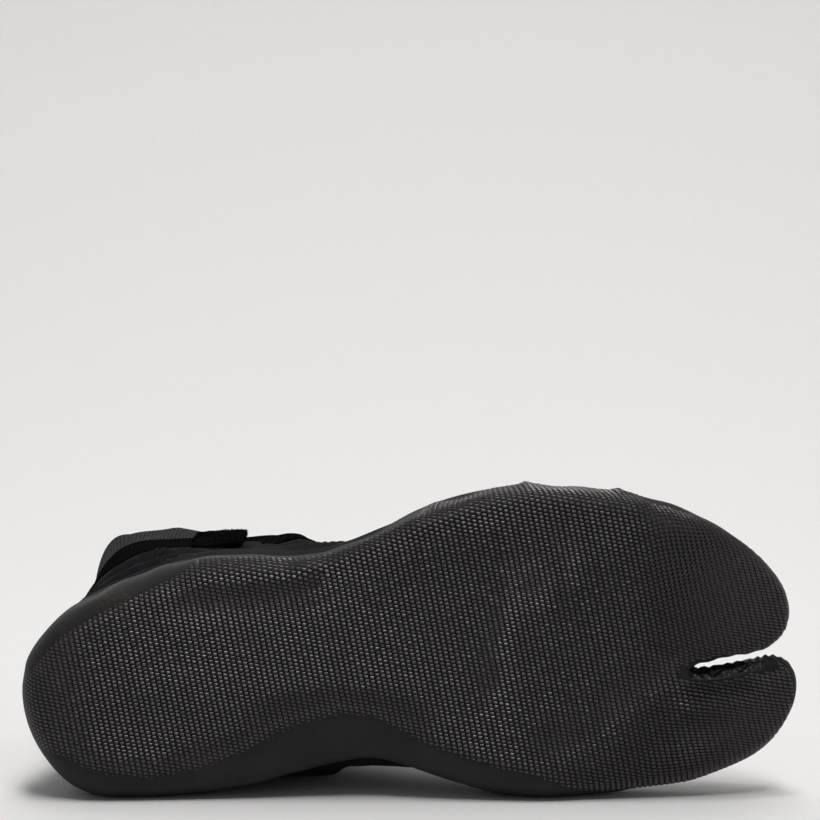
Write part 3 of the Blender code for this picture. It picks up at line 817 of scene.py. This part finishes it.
def end_tree(tree, instances, material):
    """Makes instances real, because an export drops them otherwise, and gives them their material."""
    real = add(tree, "GeometryNodeRealizeInstances", {"Geometry": instances})
    coated = add(tree, "GeometryNodeSetMaterial", {"Geometry": real, "Material": material})
    add(tree, "NodeGroupOutput", {"Geometry": coated})


def grown(name, mesh, tree, values):
    """Runs a node tree on a mesh with these values for its named inputs, and returns a plain mesh."""
    carrier = put(name, mesh)
    modifier = carrier.modifiers.new(name, "NODES")
    modifier.node_group = tree
    for item in tree.interface.items_tree:
        if item.in_out == "INPUT" and item.name in values:
            modifier[item.identifier] = values[item.name]
    depsgraph = bpy.context.evaluated_depsgraph_get()
    result = bpy.data.meshes.new_from_object(carrier.evaluated_get(depsgraph))
    bpy.data.objects.remove(carrier)
    return result


print(len(bpy.data.materials), "materials and", len(bpy.data.node_groups), "node trees so far")

# %% The tread's node tree
LOOK_AHEAD = 0.3
BUMP_TILT = (0.06, 0.06, 0.05)
BUMP_UNEVEN = {"Min": 0.85, "Max": 1.12}
# How the bumps of fine rows, and those where the tread runs out, differ from the others
FINE_LENGTH = {"To Min": 1.0, "To Max": 1.16}
FINE_WIDTH = {"To Min": 1.0, "To Max": 0.76}
SMALLER_AT_ENDS = {"From Min": 0.1, "From Max": 0.55, "To Min": 0.4, "To Max": 1.0}


def tread_tree():
    """The node tree of the tread, with named inputs for its sizes."""
    tree, given = new_tree(
        "tread",
        Vector=("Start", "Row Step", "Column Step", "Bump Size"),
        Int=("Columns", "Rows", "Seed"),
        Float=("Sunk", "From", "To", "Least Depth"),
        Object=("Bump",),
        Material=("Rubber",),
    )

    # Each point's place in the lattice comes from its number
    count = add(tree, "ShaderNodeMath", {0: given["Columns"], 1: given["Rows"]}, operation="MULTIPLY")
    number = {0: add(tree, "GeometryNodeInputIndex"), 1: given["Columns"]}
    column = add(tree, "ShaderNodeMath", number, operation="MODULO")
    row = add(tree, "ShaderNodeMath", number, operation="DIVIDE")
    row = add(tree, "ShaderNodeMath", {0: row}, operation="FLOOR")
    along, across = (
        add(tree, "ShaderNodeVectorMath", {0: given[step], "Scale": times}, operation="SCALE")
        for step, times in (("Row Step", column), ("Column Step", row))
    )
    flat = add(tree, "ShaderNodeVectorMath", {0: along, 1: across}, operation="ADD")
    flat = add(tree, "ShaderNodeVectorMath", {0: flat, 1: given["Start"]}, operation="ADD")
    ahead = {0: given["Row Step"], "Scale": LOOK_AHEAD}
    ahead = add(tree, "ShaderNodeVectorMath", ahead, operation="SCALE")
    ahead = add(tree, "ShaderNodeVectorMath", {0: flat, 1: ahead}, operation="ADD")

    # What the sheet is like at that place
    maps = {}
    for name, kind in (("unrolled", "FLOAT_VECTOR"), ("tread_depth", "FLOAT"), ("fine", "FLOAT")):
        read = add(tree, "GeometryNodeInputNamedAttribute", {"Name": name}, data_type=kind)
        maps[name] = read.outputs["Attribute"]
    position = add(tree, "GeometryNodeInputPosition")
    sheet = {"Mesh": given["Geometry"], "UV Map": maps["unrolled"]}
    found = {}
    for name, value, sample, kind in (
        ("place", position, flat, "FLOAT_VECTOR"),
        ("next", position, ahead, "FLOAT_VECTOR"),
        ("normal", add(tree, "GeometryNodeInputNormal"), flat, "FLOAT_VECTOR"),
        ("depth", maps["tread_depth"], flat, "FLOAT"),
        ("fine", maps["fine"], flat, "FLOAT"),
    ):
        inputs = {**sheet, "Value": value, "Sample UV": sample}
        sampled = add(tree, "GeometryNodeSampleUVSurface", inputs, data_type=kind)
        found[name] = sampled.outputs["Value"]
        found[name + " valid"] = sampled.outputs["Is Valid"]

    # Only the points that lie on the sheet, in this length of it, where the tread is deep enough
    flat_x = add(tree, "ShaderNodeSeparateXYZ", {0: flat})
    kept = {0: found["place valid"], 1: found["next valid"]}
    kept = add(tree, "FunctionNodeBooleanMath", kept, operation="AND")
    for value, limit, test in (
        (flat_x, "From", "GREATER_EQUAL"),
        (flat_x, "To", "LESS_THAN"),
        (found["depth"], "Least Depth", "GREATER_THAN"),
    ):
        passed = add(tree, "FunctionNodeCompare", {"A": value, "B": given[limit]}, operation=test)
        kept = add(tree, "FunctionNodeBooleanMath", {0: kept, 1: passed}, operation="AND")

    # The points are laid on the sheet, a little sunk
    lower = {0: found["normal"], "Scale": given["Sunk"]}
    lower = add(tree, "ShaderNodeVectorMath", lower, operation="SCALE")
    seat = add(tree, "ShaderNodeVectorMath", {0: found["place"], 1: lower}, operation="SUBTRACT")
    points = add(tree, "GeometryNodePoints", {"Count": count})
    laid = add(tree, "GeometryNodeSetPosition", {"Geometry": points, "Position": seat})

    # The bumps stand square to the sheet, along their row, each tilted a little
    row_way = {0: found["next"], 1: found["place"]}
    row_way = add(tree, "ShaderNodeVectorMath", row_way, operation="SUBTRACT")
    axes = {"Primary Axis": found["normal"], "Secondary Axis": row_way}
    turn = add(tree, "FunctionNodeAxesToRotation", axes, primary_axis="Z", secondary_axis="X")
    limits = {"Min": [-angle for angle in BUMP_TILT], "Max": BUMP_TILT, "Seed": given["Seed"]}
    tilt = add(tree, "FunctionNodeRandomValue", limits, data_type="FLOAT_VECTOR").outputs["Value"]
    turn = leaning(tree, turn, tilt)

    # No two are of quite the same size, and where the tread runs out they are lower and smaller
    uneven = {**BUMP_UNEVEN, "Seed": given["Seed"]}
    uneven = add(tree, "FunctionNodeRandomValue", uneven, data_type="FLOAT").outputs["Value"]
    tall = add(tree, "ShaderNodeMath", {0: uneven, 1: found["depth"]}, operation="MULTIPLY")
    longer = add(tree, "ShaderNodeMapRange", {"Value": found["fine"], **FINE_LENGTH})
    thinner = add(tree, "ShaderNodeMapRange", {"Value": found["fine"], **FINE_WIDTH})
    wide = add(tree, "ShaderNodeMath", {0: uneven, 1: thinner}, operation="MULTIPLY")
    fit = add(tree, "ShaderNodeCombineXYZ", {"X": longer, "Y": wide, "Z": tall})
    size = add(tree, "ShaderNodeVectorMath", {0: given["Bump Size"], 1: fit}, operation="MULTIPLY")
    smaller = add(tree, "ShaderNodeMapRange", {"Value": found["depth"], **SMALLER_AT_ENDS})
    size = add(tree, "ShaderNodeVectorMath", {0: size, "Scale": smaller}, operation="SCALE")

    # One bump comes from outside the tree, as an object that isn't itself in the scene
    bump = add(tree, "GeometryNodeObjectInfo", {"Object": given["Bump"]}).outputs["Geometry"]
    inputs = {"Points": laid, "Selection": kept, "Instance": bump, "Rotation": turn, "Scale": size}
    end_tree(tree, add(tree, "GeometryNodeInstanceOnPoints", inputs), given["Rubber"])
    return tree


lattice = tread_tree()
print("a tread tree of", len(lattice.nodes), "nodes")

# %% Growing the tread
ROW_STEP = (2.12, 0.37, 0.0)
COLUMN_STEP = (0.30, 1.43, 0.0)
LATTICE_START = (-75.0, -165.0, 0.0)
LATTICE_COLUMNS = 200
LATTICE_ROWS = 215
BUMP_SIZE = (1.75, 1.2, 0.58)
BUMP_SUNK = 0.08
LEAST_DEPTH = 0.12
TREAD_LENGTHS = {
    "tread_heel": (-40.0, 112.0),
    "tread_ball": (112.0, 200.0),
    "tread_toes": (200.0, 330.0),
}

for name, (start, end) in TREAD_LENGTHS.items():
    values = {
        "Start": metres(LATTICE_START),
        "Row Step": metres(ROW_STEP),
        "Column Step": metres(COLUMN_STEP),
        "Columns": LATTICE_COLUMNS,
        "Rows": LATTICE_ROWS,
        "Bump": one_bump,
        "Bump Size": metres(BUMP_SIZE),
        "Sunk": BUMP_SUNK * MM,
        "From": start * MM,
        "To": end * MM,
        "Least Depth": LEAST_DEPTH,
        "Seed": 7,
        "Rubber": tip_rubber,
    }
    bumps = grown(name, carrier_sheet, lattice, values)
    finished(name, bumps, "sole_rubber", smooth=False)
    print(name, len(bumps.polygons) // len(one_bump.data.polygons), "bumps")
bpy.data.meshes.remove(carrier_sheet)

# %% [markdown]
# ## The neoprene upper
#
# The upper is foamed rubber between two layers of knitted jersey: thick, soft and matt. It folds in
# fat rounded rolls, never in sharp creases. Worn boots keep rolls round the ankle, where the foot
# bends, and above the heel, and the cuff has slumped. Each roll and groove is drawn as a line in
# the side view, and the inner face moves with the outer one, so that the wall keeps its thickness.

# %% Folds of the upper
STRAP_SLOPE = 0.21
STRAP_LOW = 70.0
STRAP_WIDTH = 24.0

# Each fold: how far it pushes out, its half-width, its side (-1 outer, 1 inner, 0 both), and its
# places (x, z)
SIDE_FOLDS = {
    "roll under the strap": (2.2, 3.0, -1, [(4, 66), (28, 68), (46, 72)]),
    "hollow under the tab": (-2.6, 4.5, -1, [(55, 72), (64, 75), (74, 79)]),
    "groove under that": (-2.6, 2.6, -1, [(5, 59), (28, 61), (50, 66), (66, 73)]),
    "second roll": (2.3, 3.0, -1, [(6, 52), (28, 54), (46, 58), (60, 66)]),
    "second groove": (-2.3, 2.6, -1, [(8, 45), (26, 47), (42, 50), (54, 58)]),
    "roll above the sole": (1.8, 3.4, -1, [(8, 38), (26, 39), (42, 42), (56, 49)]),
    "roll under the strap's arch": (1.15, 4.4, -1, [(86, 82), (97, 85), (110, 90)]),
    "swell in front of the ankle": (2.2, 6.0, -1, [(119, 68), (128, 62)]),
    "bend in front": (-1.3, 3.2, 0, [(124, 84), (110, 77), (96, 73), (84, 71)]),
    "roll in front": (1.4, 3.6, 0, [(130, 78), (116, 70), (102, 65), (88, 62)]),
    "lower bend": (-1.3, 3.4, 0, [(134, 70), (122, 62), (110, 57), (98, 54)]),
    "upper bend": (-1.2, 3.0, 0, [(112, 100), (100, 96), (88, 95), (78, 96)]),
    "inner ankle groove": (-1.6, 3.0, 1, [(10, 58), (32, 60), (54, 63), (74, 66)]),
    "inner ankle roll": (1.2, 3.4, 1, [(10, 50), (34, 52), (58, 54), (78, 58)]),
}
# The same for folds across the top of the foot, drawn from above as places (x, y)
TOP_FOLDS = {
    "first fold over the foot": (-1.7, 4.0, [(158, -52), (164, -20), (166, 8), (160, 34)]),
    "ridge over the foot": (1.3, 4.5, [(168, -54), (175, -20), (176, 8), (170, 34)]),
    "fold over the ball": (-2.0, 4.0, [(186, -58), (192, -22), (196, 6), (196, 36)]),
    "ridge over the ball": (1.1, 4.5, [(199, -58), (204, -22), (208, 6), (209, 36)]),
    "fold behind the toes": (-1.5, 3.6, [(214, -56), (218, -24), (222, 0), (224, 30)]),
    "hollow behind the split": (-1.5, 4.5, [(222, -2), (234, -3), (246, -3)]),
}
# How far the outer side of the cuff has slumped, at places x
CUFF_SLUMP_X = (6, 15, 24, 36, 43, 57, 70, 82, 110)
CUFF_SLUMP = (1.2, 2.0, 2.9, 1.7, 0.4, 3.0, 4.6, 5.2, 5.2)
# How far the strap on the outer side has sunk into the soft wall or stands off it, at places x
STRAP_LIFT_X = (5, 20, 28, 41, 51, 58, 76, 88, 97, 106, 118)
STRAP_LIFT = (-0.6, -1.6, -2.2, -2.2, -2.1, -2.0, -2.7, -2.0, 2.2, 3.6, 1.6)
STRAP_FORWARD = 2.2
ANKLE_SINK = 3.0


def up_the_shaft(boot):
    """Height square to the strap, so that the strap's lower edge is at one height all round."""
    return boot[:, 2] - STRAP_SLOPE * boot[:, 0]


def strap_shift(boot):
    """How the strap leaves its first place: up is away from the floor, on the outer side only."""
    lift = np.interp(boot[:, 0], STRAP_LIFT_X, STRAP_LIFT) * (1 - ease(boot[:, 1], -30, 0))
    forward = STRAP_FORWARD * ease(boot[:, 0], 92, 106) * (1 - ease(boot[:, 1], -30, 5))
    shift = np.zeros_like(boot)
    shift[:, 0] += forward
    shift[:, 1] -= lift
    return shift


def side_push(boot):
    """The push of the side folds, in millimetres."""
    push = np.zeros(len(boot))
    weight = {-1: 1 - ease(boot[:, 1], -12, 8), 0: np.ones(len(boot)), 1: ease(boot[:, 1], 2, 22)}
    for height, width, side, line in SIDE_FOLDS.values():
        push += height * weight[side] * hill(away(boot[:, [0, 2]], line), width)
    return push


def top_push(boot):
    """The same for the folds across the top of the foot."""
    return press_lines(boot, TOP_FOLDS) * ease(sole_height(boot), 24, 34)


print(len(SIDE_FOLDS), "folds on the sides and", len(TOP_FOLDS), "over the foot")

# %% Folding the upper
upper, upper_outside, _ = smooth_copy("upper", 2, 0.6)
boot = to_boot(points_of(upper))
facing = turn_to_boot(normals_of(upper)) * np.where(upper_outside, 1, -1)[:, None]
x, y, z = boot.T
soft = 0.45 * np.sin(x / 11 + z / 17) * np.sin(y / 13 + x / 23)
soft += 0.25 * np.sin(x / 5.3 - z / 7.1 + y / 9)
clear = ease(sole_height(boot), 26, 34)
push = (side_push(boot) + top_push(boot) + soft) * clear
# Under the strap the wall stays where it is, because the strap holds it
held = np.exp(-(((up_the_shaft(boot) - STRAP_LOW - STRAP_WIDTH / 2) / (0.62 * STRAP_WIDTH)) ** 6))
floor_side = ease(y, 30, 42)
push *= (1 - held * (x < 125)) * (1 - floor_side)
shift = facing * push[:, None]
slump = np.interp(x, CUFF_SLUMP_X, CUFF_SLUMP) * ease(z, 94, 122) * (1 - ease(y, -26, 6))
shift[:, 1] += split_swell(boot) + big_toe_spread(boot) + slump
shift[:, 2] += sole_fall(boot)
store(upper, "cement_and_shade", cement_and_shade_cover(boot, facing))
# The inner ankle rests on the floor, and the wall in front of the ankle follows the strap
rests = ANKLE_SINK * ease(x, 52, 78) * (1 - ease(x, 113, 120)) * ease(y, 30, 40)
rests = rests * ease(z, 26, 34) * (1 - ease(z, 60, 74))
shift[:, 1] += np.minimum(rests, np.maximum(AXIS_ABOVE_FLOOR - 0.3 - y, 0))
shift += strap_shift(boot) * (ease(x, 84, 96) * ease(up_the_shaft(boot), 34, 60))[:, None]
move_points(upper, shift)
print("upper pushed in by", round(-push.min(), 2), "mm and out by", round(push.max(), 2), "mm")

# %% [markdown]
# ## Neoprene and the ribbed cuff
#
# The jersey on the foam is a fine black knit with a little nap, so it looks soft at its edges and
# never glossy. Above the strap it changes to a grey ribbed knit, whose ribs run up to the rim and
# let the cuff stretch. Both are one cloth here, because a number stored on the mesh says where the
# cuff starts. The ribs are spaced by the angle round the shaft, so they meet without a seam.

# %% Knitted materials
KNIT = 0.9  # the real knit is about 0.5 mm, drawn coarser so that it shows
KNIT_DEPTH = 0.25
CUFF_RIBS = 190
RIB_DEPTH = 0.16
SHAFT_MIDDLE = (57.0, 4.5)
JERSEY_WEAR = 9.0  # size of the worn patches, mm


def knit(name, dark, pale, roughness, gloss, nap):
    """Black jersey: a fine bump of loops, with soft wear in patches and a nap of fibre ends."""
    material, tree, shader = material_named(name, dark, roughness, Specular_IOR_Level=gloss)
    wire(shader, {"Sheen Weight": nap, "Sheen Roughness": 0.5})
    place = add(tree, "ShaderNodeTexCoord").outputs["Object"]
    patchy(tree, place, JERSEY_WEAR, 4.0, dark, pale)
    loops = {"Vector": place, "Scale": 1 / (KNIT * MM)}
    loops = add(tree, "ShaderNodeTexVoronoi", loops, feature="SMOOTH_F1")
    bump = add(tree, "ShaderNodeBump", {"Height": loops, "Distance": KNIT_DEPTH * MM, "Strength": 0.5})
    wire(shader, {"Normal": bump})
    return material


def add_cuff_ribs(material, grey):
    """Ribs round the shaft and a grey colour, with painted shade in the grooves between the ribs, where
    the stored number says that the cuff is.
    """
    tree = material.node_tree
    shader = tree.nodes["Principled BSDF"]
    cuff = add(tree, "ShaderNodeAttribute", attribute_name="cuff").outputs["Fac"]
    place = add(tree, "ShaderNodeTexCoord").outputs["Object"]
    middle = (cad_low.x + SHAFT_MIDDLE[0] * MM, 0.0, (AXIS_ABOVE_FLOOR - SHAFT_MIDDLE[1]) * MM)
    place = add(tree, "ShaderNodeVectorMath", {0: place, 1: middle}, operation="SUBTRACT")
    place = add(tree, "ShaderNodeSeparateXYZ", {0: place}).outputs
    angle = add(tree, "ShaderNodeMath", {0: place["Z"], 1: place["X"]}, operation="ARCTAN2")
    turns = add(tree, "ShaderNodeMath", {0: angle, 1: float(CUFF_RIBS)}, operation="MULTIPLY")
    rib = add(tree, "ShaderNodeMath", {0: turns}, operation="SINE")
    height = add(tree, "ShaderNodeMath", {0: rib, 1: cuff}, operation="MULTIPLY")
    before = shader.inputs["Normal"].links[0].from_socket
    bump = {"Height": height, "Distance": RIB_DEPTH * MM, "Strength": 0.8, "Normal": before}
    wire(shader, {"Normal": add(tree, "ShaderNodeBump", bump)})
    # Painted shade: the grooves between the ribs are painted darker than the ribs
    limits = {"From Min": -1.0, "From Max": 1.0, "To Min": 0.45, "To Max": 1.0}
    hollow_shade = add(tree, "ShaderNodeMapRange", {"Value": rib, **limits})
    shaded_yarn = add(tree, "ShaderNodeVectorMath", {0: colour(grey)[:3], "Scale": hollow_shade}, operation="SCALE")
    tint(tree, cuff, shaded_yarn)


print("knit drawn at", KNIT, "mm")

# %% Jersey on the upper
# Jersey has hardly any gloss and a thin nap, so folds show as wide soft greys with paler outlines
jersey = knit("black_jersey_on_foam", "#18181A", "#1F1F21", 0.6, 0.003, 0.03)
add_cuff_ribs(jersey, "#3A3A3C")
add_cement_and_shade(jersey)
strap_top = STRAP_LOW + STRAP_WIDTH
cuff = ease(up_the_shaft(to_boot(points_of(upper))), strap_top - 1, strap_top + 0.5)
store(upper, "cuff", cuff * upper_outside)
upper.materials.append(jersey)
finished("neoprene_upper", upper, "neoprene", "upper")
print("cuff with", CUFF_RIBS, "ribs")

# %% [markdown]
# ## Seams
#
# The sock is closed by a seam at the back and one on each side of the ankle. A machine sews a zigzag
# over each glued joint. A seam is drawn here as a few places, rays from outside carry it on to the
# cloth, and it is cut into even steps. A node tree lays one stitch at each step, flat on the cloth
# and turned along the seam. A stitch is the little roof of the tread again, drawn out into a length
# of thread.

# %% Lines of the seams
STITCH_STEP = 1.7
STITCH_SLANT = 0.6
OUTSIDE = 120.0
SHAFT_BACK_Y = 4.5
SEAM_PLACES = 60

cloth = [list(polygon.vertices) for polygon in upper.polygons]
cloth = bvhtree.BVHTree.FromPolygons(points_of(upper).tolist(), cloth)


def sewn(starts, aim):
    """Even steps along a line where rays meet the cloth: places, the cloth's facing, the line's way."""
    hits = []
    aim = turn_to_scene(np.array([aim], float))[0]
    for start in to_scene(starts):
        place, normal, _, _ = cloth.ray_cast(start, aim)
        if place:
            hits.append([*place, *normal])
    hits = np.array(hits)
    walked = np.cumsum(np.linalg.norm(np.diff(hits[:, :3], axis=0, prepend=hits[:1, :3]), axis=1))
    steps = np.arange(0.0, walked[-1], STITCH_STEP * MM)
    even = np.stack([np.interp(steps, walked, column) for column in hits.T], 1)
    return even[:, :3], even[:, 3:], np.gradient(even[:, :3], axis=0)


share = np.linspace(0, 1, SEAM_PLACES)
ankle_x = np.interp(share, (0, 0.35, 0.7, 1), (42, 45, 49, 54))
ankle_z = np.interp(share, (0, 0.35, 0.7, 1), (72, 60, 48, 37))
lines = {
    "outer ankle": ([(x, -OUTSIDE, z) for x, z in zip(ankle_x, ankle_z)], (0, 1, 0)),
    "inner ankle": ([(x, OUTSIDE, z) for x, z in zip(ankle_x, ankle_z)], (0, -1, 0)),
    "back": ([(-OUTSIDE, SHAFT_BACK_Y, 30 + 40 * s) for s in share], (1, 0, 0)),
    "back of the cuff": ([(-OUTSIDE, SHAFT_BACK_Y, 99 + 29 * s) for s in share], (1, 0, 0)),
}
laid = [sewn(*line) for line in lines.values()]
stitch_points = bpy.data.meshes.new("stitch_points")
stitch_points.from_pydata(np.concatenate([places for places, _, _ in laid]).tolist(), [], [])
store(stitch_points, "up", np.concatenate([up for _, up, _ in laid]))
store(stitch_points, "way", np.concatenate([way for _, _, way in laid]))
slants = [STITCH_SLANT * (-1.0) ** np.arange(len(places)) for places, _, _ in laid]
store(stitch_points, "slant", np.concatenate(slants))
print(len(lines), "seams with", len(stitch_points.vertices), "steps")

# %% Stitches
STITCH_SIZE = (2.6, 0.55, 0.42)


def stitch_tree():
    """One stitch on each point, turned by the directions that the point keeps."""
    tree, given = new_tree(
        "stitches", Object=("Stitch",), Vector=("Stitch Size",), Material=("Thread",)
    )
    kept = {}
    for name, kind in (("up", "FLOAT_VECTOR"), ("way", "FLOAT_VECTOR"), ("slant", "FLOAT")):
        read = add(tree, "GeometryNodeInputNamedAttribute", {"Name": name}, data_type=kind)
        kept[name] = read.outputs["Attribute"]
    axes = {"Primary Axis": kept["up"], "Secondary Axis": kept["way"]}
    turn = add(tree, "FunctionNodeAxesToRotation", axes, primary_axis="Z", secondary_axis="X")
    turn = leaning(tree, turn, add(tree, "ShaderNodeCombineXYZ", {"Z": kept["slant"]}))
    stitch = add(tree, "GeometryNodeObjectInfo", {"Object": given["Stitch"]}).outputs["Geometry"]
    inputs = {"Points": given["Geometry"], "Instance": stitch, "Rotation": turn}
    stitches = add(tree, "GeometryNodeInstanceOnPoints", {**inputs, "Scale": given["Stitch Size"]})
    end_tree(tree, stitches, given["Thread"])
    return tree


# Twisted nylon thread is smoother than the jersey, so a seam shows as a row of small grey dashes
thread, _, _ = material_named("black_nylon_thread", "#161617", 0.6, Specular_IOR_Level=0.25)
values = {"Stitch": one_bump, "Stitch Size": metres(STITCH_SIZE), "Thread": thread}
stitches = grown("seam_stitches", stitch_points, stitch_tree(), values)
bpy.data.meshes.remove(stitch_points)
finished("seam_stitches", stitches, "neoprene", smooth=False)
print(len(stitches.polygons) // len(one_bump.data.polygons), "stitches")

# %% [markdown]
# ## The insole
#
# A panel of the same foam is sewn into the opening under the foot. It only shows through the
# collar, so a smooth copy in a plain dark jersey is enough.

# %% Insole
insole, _, _ = smooth_copy("insole", 1, 0.6)
shift = np.zeros((len(insole.vertices), 3))
boot = to_boot(points_of(insole))
shift[:, 1] = big_toe_spread(boot)
shift[:, 2] = sole_fall(boot)
move_points(insole, shift)
# A looser knit than outside, which gives a flat dark grey in the depth of the boot
insole.materials.append(knit("dark_insole_jersey", "#1A1A1C", "#242427", 0.85, 0.15, 0.1))
finished("insole_panel", insole, "insole_jersey", "insole")

# %% [markdown]
# ## The ankle strap
#
# The strap is flat webbing, woven from black polyester. It doesn't lie snugly: it sinks into the
# soft cuff at the back and stands off in front of the ankle, where it turns. Its weave follows the
# strap, so it needs a map along and across the band: the way round comes from the angle round the
# shaft, and a face that crosses the join of that angle gets a whole turn added.

# %% Webbing
STRAP_ROUND = 262.0
WEAVE_ALONG = 1.7  # the real weave is about 1 mm, drawn coarser so that it shows
WEAVE_ACROSS = 1.3
WEAVE_DEPTH = 0.18


def round_map(mesh, name, around):
    """A map in millimetres: along the band from the angle round the shaft, and across it."""
    boot = to_boot(points_of(mesh))
    turn = np.arctan2(boot[:, 1] - SHAFT_MIDDLE[1], boot[:, 0] - SHAFT_MIDDLE[0]) / (2 * math.pi)
    across = up_the_shaft(boot) - STRAP_LOW
    layer = mesh.uv_layers.new(name=name)
    for polygon in mesh.polygons:
        turns = [turn[mesh.loops[i].vertex_index] for i in polygon.loop_indices]
        for i, share in zip(polygon.loop_indices, turns):
            if max(turns) - min(turns) > 0.5 and share < 0:
                share += 1
            layer.data[i].uv = (share * around, across[mesh.loops[i].vertex_index])


def woven(name, dark, pale, map_name):
    """Webbing: threads pass over and under each other along both ways of a map, painted darker where
    they pass under, a painted shade.
    """
    material, tree, shader = material_named(name, dark, 0.8, Specular_IOR_Level=0.0)
    flat = add(tree, "ShaderNodeUVMap", uv_map=map_name)
    flat = add(tree, "ShaderNodeSeparateXYZ", {0: flat}).outputs
    along, across = (
        add(tree, "ShaderNodeMath", {0: flat[axis], 1: 2 * math.pi / weave}, operation="MULTIPLY")
        for axis, weave in (("X", WEAVE_ALONG), ("Y", WEAVE_ACROSS))
    )
    slant = add(tree, "ShaderNodeMath", {0: along, 1: across}, operation="ADD")
    over = add(tree, "ShaderNodeMath", {0: slant}, operation="SINE")
    under = add(tree, "ShaderNodeMath", {0: across}, operation="COSINE")
    thread = add(tree, "ShaderNodeMath", {0: over, 1: under}, operation="MULTIPLY")
    bump = {"Height": thread, "Distance": WEAVE_DEPTH * MM, "Strength": 0.7}
    bump = add(tree, "ShaderNodeBump", bump)
    # Painted shade: a thread is painted paler where it rides over and darker where it dips under
    light = add(tree, "ShaderNodeMapRange", {"Value": thread, "From Min": -1.0, "From Max": 1.0})
    shades = {"Factor": light, 6: colour(dark), 7: colour(pale)}
    hollow_shade = add(tree, "ShaderNodeMix", shades, data_type="RGBA").outputs[2]
    wire(shader, {"Base Color": hollow_shade, "Normal": bump})
    return material


strap, _, _ = smooth_copy("ankle_strap", 2, 0.8)
move_points(strap, strap_shift(to_boot(points_of(strap))))
round_map(strap, "woven", STRAP_ROUND)
# Dyed threads with no gloss to speak of: the strap is a flat black line, and its weave shows close by
strap.materials.append(woven("black_polyester_webbing", "#090909", "#161617", "woven"))
finished("webbing_strap", strap, "webbing", "ankle_strap")

# %% [markdown]
# ## The hook-and-loop end
#
# The strap's end is a flat piece of looped pile, the blackest and fuzziest thing on the boot. A
# thinned copy of its solid carries short fibres. A node tree scatters them over it, each a thin
# cone that leans its own way, so that its edge isn't clean against the light ground.

# %% Pile
TAB_THINNER = 0.2
TAB_WEDGE = 2.5
DROOP_BELOW = 4.5
DROOP_ABOVE = 1.2
FIBRES_PER_MM2 = 2.2
FIBRE_LENGTH = 0.75
FIBRE_RADIUS = 0.11
FIBRE_SIDES = 4
FIBRE_LEAN = (0.7, 0.7, 3.1)

tab, _, _ = smooth_copy("strap_tab", 2, 0.8)
boot = to_boot(points_of(tab))
facing = turn_to_boot(normals_of(tab))
shift = strap_shift(boot)
x, y, z = boot.T
shift[:, 1] += np.where(facing[:, 1] < -0.3, TAB_THINNER + TAB_WEDGE * (1 - ease(x, 54, 65)), 0.0)
# Its end hangs over the edge of the strap and droops on to the neoprene
droop = (1 - ease(z, 80, 90)) * (1 - ease(x, 62, 74))
shift[:, 1] += droop * np.where(facing[:, 1] > 0.3, DROOP_BELOW, DROOP_ABOVE)
shift[:, 1] += 0.2 * np.sin(z / 1.3) * np.sin(x / 1.1)
move_points(tab, shift)
# Loops swallow the light, so the tab is the blackest piece and only its fuzzy outline tells what it is
pile = knit("black_looped_pile", "#0D0D0D", "#191919", 0.95, 0.0, 0.0)
tab.materials.append(pile)
print("tab of", len(tab.polygons), "faces")

# %% Fibres


def pile_tree():
    """Short leaning fibres all over a mesh."""
    tree, given = new_tree(
        "pile", Float=("Density", "Length", "Radius"), Int=("Seed",), Material=("Pile",)
    )
    inputs = {"Mesh": given["Geometry"], "Density": given["Density"], "Seed": given["Seed"]}
    spots = add(tree, "GeometryNodeDistributePointsOnFaces", inputs).outputs
    inputs = {"Vertices": FIBRE_SIDES, "Radius Top": 0.0, "Radius Bottom": given["Radius"]}
    fibre = add(tree, "GeometryNodeMeshCone", {**inputs, "Depth": given["Length"]}, fill_type="NGON")
    limits = {"Min": [-angle for angle in FIBRE_LEAN], "Max": FIBRE_LEAN, "Seed": given["Seed"]}
    lean = add(tree, "FunctionNodeRandomValue", limits, data_type="FLOAT_VECTOR").outputs["Value"]
    turn = leaning(tree, spots["Rotation"], lean)
    inputs = {"Points": spots["Points"], "Instance": fibre, "Rotation": turn}
    end_tree(tree, add(tree, "GeometryNodeInstanceOnPoints", inputs), given["Pile"])
    return tree


values = {
    "Density": FIBRES_PER_MM2 / MM**2,
    "Length": FIBRE_LENGTH * MM,
    "Radius": FIBRE_RADIUS * MM,
    "Seed": 3,
    "Pile": pile,
}
fibres = grown("pile_fibres", tab, pile_tree(), values)
finished("pile_fibres", fibres, "hook_and_loop")
finished("pile_tab", tab, "hook_and_loop", "strap_tab")
print(len(fibres.polygons) // (FIBRE_SIDES + 1), "fibres")
